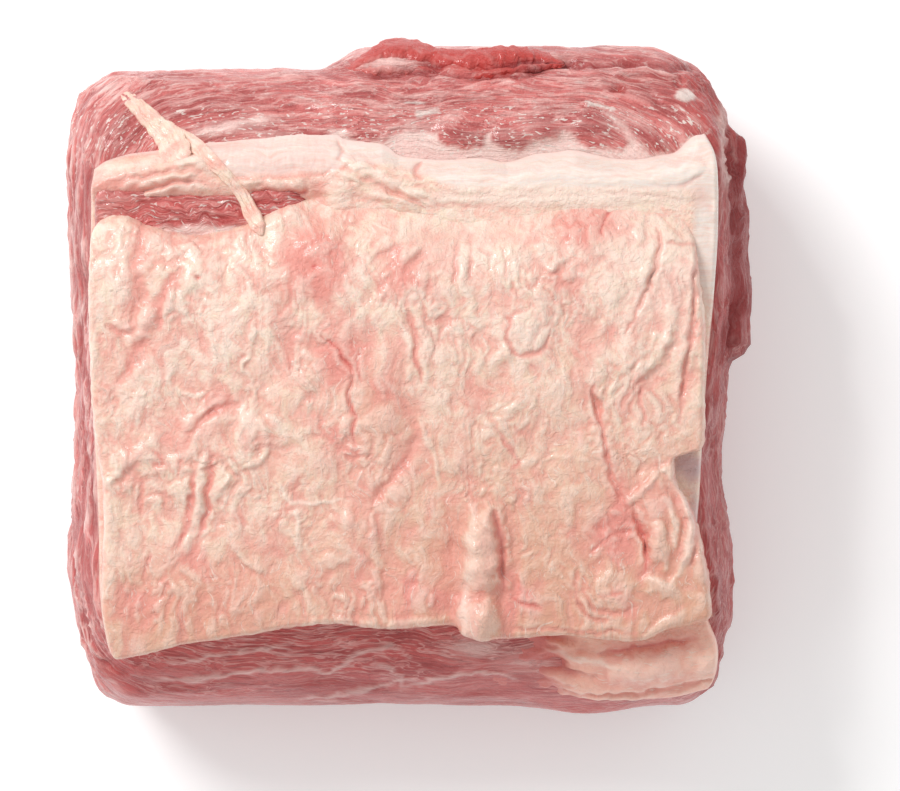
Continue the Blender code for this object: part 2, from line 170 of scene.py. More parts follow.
def grain(points, size, seed, octaves=1):
    """Smooth noise between about -1 and 1, with lumps of the given size along each axis."""
    size = np.broadcast_to(np.array(size, float), points.shape[1])
    total, share = np.zeros(len(points)), 1.0
    for octave in range(octaves):
        p = points / (size / 2**octave) + 37.7 * seed + 11.3 * octave
        cell = np.floor(p).astype(np.int64)
        t = p - cell
        ease = t * t * t * (t * (t * 6 - 15) + 10)
        for corner in itertools.product((0, 1), repeat=points.shape[1]):
            corner = np.array(corner)
            key = (cell + corner) @ NOISE_PRIMES[: len(corner)]
            lean = sum((2 * scrambled(key, axis) - 1) * (t[:, axis] - c) for axis, c in enumerate(corner))
            total += share * lean * np.prod(np.where(corner > 0, ease, 1 - ease), axis=1)
        share *= 0.5
    return total * NOISE_GAIN


def lobes(plan, size, seed):
    """Rounded lobes with narrow creases between them: 1 in a lobe's middle, 0 at its border."""
    p = plan / np.array(size) + 17.3 * seed
    home = np.floor(p)
    first, second = np.full(len(p), 9.0), np.full(len(p), 9.0)
    for step in itertools.product((-1, 0, 1), repeat=2):
        cell = home + step
        key = cell.astype(np.int64) @ NOISE_PRIMES[:2]
        gap = np.hypot(*(p - cell - np.stack([scrambled(key, 1), scrambled(key, 2)], -1)).T)
        second = np.minimum(second, np.maximum(first, gap))
        first = np.minimum(first, gap)
    return ramp(0.0, 0.75, second - first)


def wrinkles(plan, size, seed, octaves=2):
    """Soft crests between broad hollows, from 0 to 1."""
    return np.exp(-((grain(plan, size, seed, octaves) * 3.0) ** 2))


def warped(plan, reach, size, seed):
    """The plan positions, each moved a little, so that noise over them bends and swirls."""
    moves = [grain(plan, size, seed + axis, 2) for axis in range(plan.shape[1])]
    return plan + reach * np.stack(moves, -1)


def soften(grid, radius):
    """The grid of heights, blurred over a number of cells."""
    steps = np.arange(-2 * radius, 2 * radius + 1)
    weights = hill(steps, 0, radius)
    weights /= weights.sum()
    for axis in (0, 1):
        margins = [(2 * radius,) * 2 if a == axis else (0, 0) for a in (0, 1)]
        padded = np.pad(grid, margins, mode="edge")
        length = grid.shape[axis]
        grid = sum(w * np.take(padded, range(i, i + length), axis) for i, w in enumerate(weights))
    return grid


def left_face(y, z):
    """X of the cut face on the left: it bulges at mid height and leans in to the top rim."""
    above = np.clip((z - LEFT_BULGE_Z) / (MEAT_TOP - LEFT_BULGE_Z), 0, 1.1)
    below = np.clip((LEFT_BULGE_Z - z) / LEFT_BULGE_Z, 0, 1)
    waist = 3.4 * hill(y, 0, 34) * (1 - 0.4 * above)
    corners = LEFT_FRONT_CUT * ramp(-44, -92, y) ** 1.5 + LEFT_BACK_CUT * ramp(56, 92, y) ** 1.3
    return LEFT_BULGE_X + LEFT_LEAN * above**1.7 + FOOT_TUCK * below**2 + waist + corners


def right_face(y, z):
    """X of the cut face on the right, with the loose rib meat that hangs out along its back half."""
    above = np.clip((z - RIGHT_BULGE_Z) / (MEAT_TOP - RIGHT_BULGE_Z), 0, 1.1)
    below = np.clip((RIGHT_BULGE_Z - z) / RIGHT_BULGE_Z, 0, 1)
    waist = 4.5 * hill(y, -25, 25)
    belly = 2.6 * hill(y, -52, 22)
    flaps = ramp(2, 10, y) * (1 - ramp(62, 78, y)) * hill(z, 47, 16, 4)
    teeth = 6.0 + 0.5 * np.sin(y * 0.33) + 0.8 * np.sin(y * 0.09)
    lean = (RIGHT_LEAN + waist) * above**1.5
    cuts = RIGHT_FRONT_CUT * ramp(-62, -88, y) + RIGHT_BACK_CUT * ramp(54, 76, y) + 2.0 * hill(y, -28, 12)
    return RIGHT_BULGE_X + belly * (1 - above) + teeth * flaps - lean - FOOT_TUCK * below**2 - cuts


def chine_tier(x):
    """How far the second muscle behind the backstrap reaches, as a share of its full size."""
    return ramp(-26, -10, x) * (1 - ramp(67, 83, x))


def top_height(x, y):
    """Height of the meat under the fat, from the front shoulder to the back one."""
    front = np.clip(FRONT_Y + FRONT_RADIUS - y, 0, FRONT_RADIUS - 0.5)
    spread = 1 + chine_tier(x) * CHINE_TIER / BACK_RADIUS
    back = np.clip((y - BACK_Y + BACK_RADIUS) / spread, 0, BACK_RADIUS - 0.5)
    z = MEAT_TOP - FRONT_RADIUS + np.sqrt(FRONT_RADIUS**2 - front**2)
    z += np.sqrt(BACK_RADIUS**2 - back**2) - BACK_RADIUS
    return z * (1 + TOP_TILT * y / MEAT_TOP) - TOP_CROWN * (x / HALF_LENGTH) ** 2


def on_meat(x, y, offset):
    """The point at this distance above the meat, square to its surface."""
    step = 0.5
    z = top_height(x, y)
    slope_x = (top_height(x + step, y) - top_height(x - step, y)) / (2 * step)
    slope_y = (top_height(x, y + step) - top_height(x, y - step)) / (2 * step)
    length = np.sqrt(slope_x**2 + slope_y**2 + 1)
    return np.stack(
        [x - offset * slope_x / length, y - offset * slope_y / length, z + offset / length], -1
    )


def inside_back(outline, px, py):
    """The distance in millimetres from an outline's back edge, measured down the photograph."""
    return (py - np.interp(px, *in_rows(outline["back"]).T)) * PIXEL_MM


def strap_height(x, y):
    """The offset of the lower fat's surface, which thins out into the meat along its back edge."""
    px, py = seen_at(on_meat(x, y, SEAM_THICKNESS))
    band_y = 54.4 - 4.4 * ramp(-30, 10, x) + 2 * ramp(50, 75, x)
    band_half = 6.8 + 0.7 * ramp(-30, 10, x)
    backstrap = hill(y, band_y, band_half, 4)
    under_cap = ramp(-36, -16, x) * ramp(band_y + 2, band_y - 1, y) * ramp(10, 20, y)
    backstrap = np.maximum(backstrap, 0.85 * under_cap)
    body = SEAM_THICKNESS + BACKSTRAP_THICKNESS * backstrap + 2.2 * mound(x, y, (64, -78), (24, 10))
    cover = ramp(-1.0, 6.5, inside_back(SEAM_OUTLINE, px, py))
    return body * cover - 0.25 * (1 - cover)


def cap_height(x, y):
    """The offset of the cap's surface, which sinks into the strap along most of its back edge."""
    px, py = seen_at(on_meat(x, y, CAP_EDGE))
    swell = 1.1 * mound(x, y, (-8, 0), (60, 52)) - 0.8 * mound(x, y, (78, 30), (14, 30))
    taper = 4.2 * ramp(24, 46, y) * (0.2 + 0.8 * ramp(-36, -14, x))
    shoulder = 3.6 * ramp(28, 43, y) * (1 - ramp(-36, -20, x))
    body = CAP_BASE + CAP_THICKNESS + swell - taper - shoulder
    merge = ramp(0.0, 12.0, inside_back(CAP_OUTLINE, px, py))
    merge = 1 - (1 - merge) * ramp(280, 325, px)
    return strap_height(x, y) * (1 - merge) + body * merge - 0.35 * (1 - merge)


def smooth_path(p, spans=6):
    """Points along a curve through the corners, with a number of spans between each two."""
    if len(p) < 3:
        return p
    p = np.concatenate([[2 * p[0] - p[1]], p, [2 * p[-1] - p[-2]]])
    t = np.linspace(0, 1, spans, endpoint=False)[:, None]
    pieces = []
    for a, b, c, d in zip(p, p[1:], p[2:], p[3:]):
        bend, twist = 2 * a - 5 * b + 4 * c - d, 3 * b - a - 3 * c + d
        pieces.append(0.5 * (2 * b + (c - a) * t + bend * t**2 + twist * t**3))
    return np.concatenate(pieces + [p[-2:-1]])


# How each kind of stroke rises and falls across its width. The steep side of a lap is the right one,
# looking along the stroke.
PROFILES = {
    "ridge": lambda s: hill(s, 0, 1),
    "rope": lambda s: hill(s, 0, 0.95, 2.6) - 0.1 * hill(np.abs(s), 1.8, 0.6),
    "groove": lambda s: -hill(s, 0, 0.7) + 0.25 * hill(np.abs(s), 1.8, 0.9),
    "lap": lambda s: np.where(s > 0, hill(s, 0, 0.65), hill(s, 0, 3.2)) - 0.3 * hill(s, 1.5, 0.8),
}
STROKE_REACH = 5  # how many widths to each side a stroke can change
STROKE_TIP = 0.2  # the share of a stroke's length over which each end thins out


class Carving:
    """The height, in millimetres, and the named tints that strokes give to the points of a piece."""

    def __init__(self, places, px, py):
        sway = warped(places, 3.0, 4.0, 3) - places
        self.px, self.py = px + sway[:, 0], py + sway[:, 1]
        self.widths = 1 + 0.4 * grain(places, 5.0, 97, 2)
        self.depths = np.clip(0.75 + 0.9 * grain(places, 7.0, 98, 2), 0.15, 1.4)
        self.height = np.zeros(len(px))
        self.tints = {}

    def stain(self, name, strengths, near=slice(None)):
        """Raises a tint to at least the given strengths, at all points or at the near ones."""
        tint = self.tints.setdefault(name, np.zeros(len(self.px)))
        tint[near] = np.maximum(tint[near], strengths)

    def line(self, shape, width, height, corners, tint="", strength=0):
        """One stroke along a curve through pixels, thinning out at its two ends."""
        path = smooth_path(in_rows(corners))
        low, high = path.min(0) - STROKE_REACH * width, path.max(0) + STROKE_REACH * width
        near = (self.px > low[0]) & (self.px < high[0]) & (self.py > low[1]) & (self.py < high[1])
        near = np.nonzero(near)[0]
        x, y = self.px[near], self.py[near]
        best, along, side = np.full(len(x), 1e9), np.zeros(len(x)), np.ones(len(x))
        spans = len(path) - 1
        for i in range(spans):
            (ax, ay), (dx, dy) = path[i], path[i + 1] - path[i]
            square = max(dx * dx + dy * dy, 1e-9)
            t = np.clip(((x - ax) * dx + (y - ay) * dy) / square, 0, 1)
            gap = np.hypot(x - ax - t * dx, y - ay - t * dy)
            nearer = gap < best
            best = np.where(nearer, gap, best)
            along = np.where(nearer, (i + t) / spans, along)
            side = np.where(nearer, np.sign((x - ax) * dy - (y - ay) * dx), side)
        ends = np.sqrt(np.clip(np.minimum(along, 1 - along) / STROKE_TIP, 0, 1))
        uneven = min(1, 6 / width)
        widths, depths = (1 + uneven * (share[near] - 1) for share in (self.widths, self.depths))
        s = best * side / (width * (0.45 + 0.55 * ends) * widths)
        self.height[near] += height * ends * depths * PROFILES[shape](s)
        if tint:
            self.stain(tint, strength * ends * hill(s, 0, 0.9), near)
        if tint == "blush_and_shade":
            self.stain("wash", 0.6 * strength * ends * hill(s, 0, 3.0), near)

    def spot(self, radii, height, tint, strength, centre, turn=0, edge=2):
        """A mound or a dent over an elliptical patch; a larger edge makes its sides steeper."""
        c, s = math.cos(math.radians(turn)), math.sin(math.radians(turn))
        dx, dy = self.px - centre[0], self.py - centre[1]
        u, v = (dx * c + dy * s) / radii[0], (dy * c - dx * s) / radii[1]
        shape = np.exp(-((u**2 + v**2) ** (edge / 2)))
        self.height += height * shape
        if tint:
            self.stain(tint, strength * shape)

    def all(self, strokes, spots):
        """Every stroke and spot of the tables, in their order."""
        for stroke in strokes.values():
            self.line(*stroke)
        for spot in spots.values():
            self.spot(*spot)


def deselect():
    """Leaves edit mode with nothing selected."""
    if bpy.context.object and bpy.context.object.mode != "OBJECT":
        bpy.ops.object.mode_set(mode="OBJECT")
    bpy.ops.object.select_all(action="DESELECT")


def slab(name, cells, under_cells):
    """A closed box of unit size, with a fine top, rows of faces down its rim and a coarse underside."""
    deselect()
    bpy.ops.mesh.primitive_grid_add(
        x_subdivisions=cells[0], y_subdivisions=cells[1], size=1, location=(0.5, 0.5, 1)
    )
    obj = bpy.context.object
    obj.name = obj.data.name = name
    bpy.ops.object.mode_set(mode="EDIT")
    bpy.ops.mesh.select_mode(type="EDGE")
    bpy.ops.mesh.select_all(action="DESELECT")
    bpy.ops.mesh.select_non_manifold()
    for _ in range(RIM_ROWS):
        bpy.ops.mesh.extrude_edges_move(TRANSFORM_OT_translate={"value": (0, 0, -1 / RIM_ROWS)})
    bpy.ops.mesh.select_all(action="DESELECT")
    bpy.ops.mesh.primitive_grid_add(
        x_subdivisions=under_cells[0], y_subdivisions=under_cells[1], size=0.97, location=(0.5, 0.5, 0)
    )
    bpy.ops.mesh.select_all(action="DESELECT")
    bpy.ops.mesh.select_non_manifold()
    bpy.ops.mesh.bridge_edge_loops()
    bpy.ops.object.mode_set(mode="OBJECT")
    bpy.ops.object.transform_apply(location=True, rotation=True, scale=True)
    return obj


def split_count(count):
    """The count as factors that one subdivision each can make."""
    for first in range(60, 1, -1):
        if count % first == 0:
            return [first] if first == count else [first, count // first]
    return [count]


def divided_box(name, cells):
    """A box of unit size whose edges along X, Y and Z are cut into the given numbers of cells."""
    deselect()
    bpy.ops.mesh.primitive_cube_add(size=1, location=(0.5, 0.5, 0.5))
    obj = bpy.context.object
    obj.name = obj.data.name = name
    bpy.ops.object.transform_apply(location=True, rotation=True, scale=True)
    for axis, count in enumerate(cells):
        for part in split_count(count):
            bpy.ops.object.mode_set(mode="EDIT")
            bpy.ops.mesh.select_mode(type="EDGE")
            bpy.ops.mesh.select_all(action="DESELECT")
            mesh = bmesh.from_edit_mesh(obj.data)
            for edge in mesh.edges:
                start, end = (vert.co for vert in edge.verts)
                edge.select_set(abs(start[axis] - end[axis]) > 1e-6)
            bmesh.update_edit_mesh(obj.data)
            bpy.ops.mesh.subdivide(number_cuts=part - 1)
            bpy.ops.object.mode_set(mode="OBJECT")
    return obj


def points_of(obj):
    """The places of the mesh's points, as rows."""
    points = np.empty(len(obj.data.vertices) * 3, np.float64)
    obj.data.vertices.foreach_get("co", points)
    return points.reshape(-1, 3)


def set_points(obj, points):
    """Moves the points to places in millimetres, and turns every face outwards."""
    obj.data.vertices.foreach_set("co", (points * MM).ravel())
    obj.data.update()
    deselect()
    obj.select_set(True)
    bpy.context.view_layer.objects.active = obj
    bpy.ops.object.mode_set(mode="EDIT")
    bpy.ops.mesh.select_all(action="SELECT")
    bpy.ops.mesh.normals_make_consistent(inside=False)
    bpy.ops.object.mode_set(mode="OBJECT")
    bpy.ops.object.shade_smooth()


def set_tints(obj, tints):
    """Stores each tint as a number from 0 to 1 at each point."""
    for name, values in tints.items():
        attribute = obj.data.attributes.new(name, "FLOAT", "POINT")
        attribute.data.foreach_set("value", np.clip(values, 0, 1).astype(np.float32))


def set_fibre(obj, along, across, deep):
    """Stores where each point lies along and across the fibres, in millimetres."""
    attribute = obj.data.attributes.new("fibre", "FLOAT_VECTOR", "POINT")
    attribute.data.foreach_set("vector", np.stack([along, across, deep], -1).astype(np.float32).ravel())


def outward_of(obj):
    """The outward direction at each point of the mesh."""
    normals = np.empty(len(obj.data.vertices) * 3, np.float32)
    obj.data.vertex_normals.foreach_get("vector", normals)
    return normals.reshape(-1, 3).astype(np.float64)


def path_between(corners, shares, offset):
    """Plan positions along an edge given in pixels, at shares of its length."""
    path = place_of(smooth_path(in_rows(corners), 8), offset)
    lengths = np.hypot(*np.diff(path, axis=0).T)
    stations = np.concatenate([[0], np.cumsum(lengths)]) / lengths.sum()
    return np.stack([np.interp(shares, stations, path[:, i]) for i in range(2)], -1)


def patch(outline, offset, u, v):
    """The plan position in a four-sided outline: u runs left to right and v front to back."""
    front, back = (path_between(outline[side], u, offset) for side in ("front", "back"))
    left, right = (path_between(outline[side], v, offset) for side in ("left", "right"))
    ends = [place_of(in_rows(outline[side])[[0, -1]], offset) for side in ("front", "back")]
    u, v = u[:, None], v[:, None]
    low, high = (start * (1 - u) + end * u for start, end in ends)
    return front * (1 - v) + back * v + left * (1 - u) + right * u - (low * (1 - v) + high * v)


def rim_shares(u, v, size, rims):
    """The share of a slab's thickness at each point: 1 inside, rounding down to 0 at its rims.

    The rims are the widths of the rounding at the left, the right, the front and the back.
    """
    left, right, front, back = (max(rim, 1e-3) for rim in rims)
    bite_u = np.maximum(1 - u * size[0] / left, 1 - (1 - u) * size[0] / right)
    bite_v = np.maximum(1 - v * size[1] / front, 1 - (1 - v) * size[1] / back)
    bite = np.clip(np.hypot(np.clip(bite_u, 0, 1), np.clip(bite_v, 0, 1)), 0, 1)
    return np.sqrt(1 - 0.9999 * bite**2)


def tucked(u, v, w, size, curl):
    """Moves the points below the top of a slab's rim in under it."""
    inset = curl * np.where(w < 0.999, (1 - w) ** 2, 0)
    a, b = inset / size[0], inset / size[1]
    return np.clip(u, a, 1 - a), np.clip(v, b, 1 - b)


def laid(u, v, w, outline, offset, size, rims, tuck):
    """A slab's points laid over an outline: their share of the thickness and their plan position."""
    return rim_shares(u, v, size, rims), patch(outline, offset, *tucked(u, v, w, size, tuck))


def hollows(height, cells, fine, wide):
    """How far each point of a grid lies below (above 0) or over (under 0) what is round it."""
    count = (cells[0] + 1) * (cells[1] + 1)
    grid = height[:count].reshape(cells[1] + 1, cells[0] + 1)
    result = np.zeros(len(height))
    result[:count] = ((soften(grid, fine) - grid) * 2.2 + (soften(grid, wide) - grid)).ravel()
    return result


# The outlines, in pixels of the photograph, x and y by turns: front and back run left to right, and
# left and right run front to back
CAP_OUTLINE = {
    "back": [
        89, 232, 97, 219, 110, 213, 124, 212, 137, 217, 150, 223, 172, 229, 195, 232, 222, 228, 246, 221,
        262, 213, 290, 202, 318, 196, 345, 196, 388, 200, 430, 205, 452, 210, 470, 213, 492, 209, 520, 204,
        560, 200, 600, 198, 640, 199, 668, 205, 688, 216,
    ],
    "front": [
        108, 640, 118, 645, 130, 644, 155, 640, 180, 635, 215, 631, 250, 627, 290, 622, 330, 619, 366, 622,
        400, 623, 430, 621, 455, 621, 463, 627, 480, 630, 500, 630, 530, 629, 560, 628, 600, 631, 640, 632,
        665, 624, 690, 620, 714, 615,
    ],
    "left": [
        108, 640, 103, 622, 100, 600, 101, 560, 103, 520, 102, 490, 100, 470, 95, 440, 91, 400, 89, 350,
        88, 300, 89, 232,
    ],
    "right": [
        714, 615, 712, 596, 708, 565, 701, 533, 694, 511, 684, 493, 677, 479, 675, 462, 676, 457, 681, 454,
        692, 451, 703, 447, 706, 432, 706, 390, 707, 350, 706, 315, 702, 290, 699, 262, 696, 240, 688, 216,
    ],
}
SEAM_OUTLINE = {
    "back": [
        92, 168, 105, 159, 127, 152, 155, 148, 180, 143, 200, 139, 235, 134, 277, 129, 300, 128, 332, 130,
        345, 137, 382, 142, 398, 153, 416, 156, 445, 158, 480, 156, 507, 160, 535, 152, 557, 150, 575, 148,
        612, 156, 640, 157, 662, 153, 676, 150, 688, 139, 698, 130, 706, 130,
    ],
    "front": [
        103, 620, 180, 614, 250, 604, 330, 592, 430, 594, 478, 606, 496, 632, 500, 650, 494, 668, 492, 682,
        504, 690, 540, 693, 580, 692, 620, 692, 670, 690, 712, 682,
    ],
    "left": [103, 620, 98, 595, 97, 540, 95, 480, 92, 420, 90, 330, 89, 240, 90, 190, 92, 168],
    "right": [
        712, 682, 719, 662, 718, 642, 708, 616, 700, 580, 698, 535, 701, 490, 703, 450, 706, 400, 711, 340,
        716, 280, 719, 230, 719, 180, 716, 152, 706, 130,
    ],
}
BLADE_OUTLINE = {
    "back": [94, 180, 112, 178, 143, 186, 175, 189, 206, 190, 242, 190, 262, 184, 308, 184],
    "front": [94, 250, 150, 252, 230, 250, 308, 216],
    "left": [94, 250, 94, 180],
    "right": [308, 216, 308, 184],
}
FLAP_OUTLINE = {
    "back": [
        338, 66, 350, 61, 366, 53, 382, 47, 396, 44, 414, 46, 430, 50, 450, 53, 480, 53, 508, 52, 548, 52,
        566, 55,
    ],
    "front": [
        338, 68, 350, 70, 362, 72, 377, 73, 396, 72, 414, 71, 426, 69, 440, 71, 456, 74, 474, 75, 496, 74,
        516, 71, 536, 68, 556, 66, 566, 60,
    ],
    "left": [338, 68, 338, 66],
    "right": [566, 60, 566, 55],
}
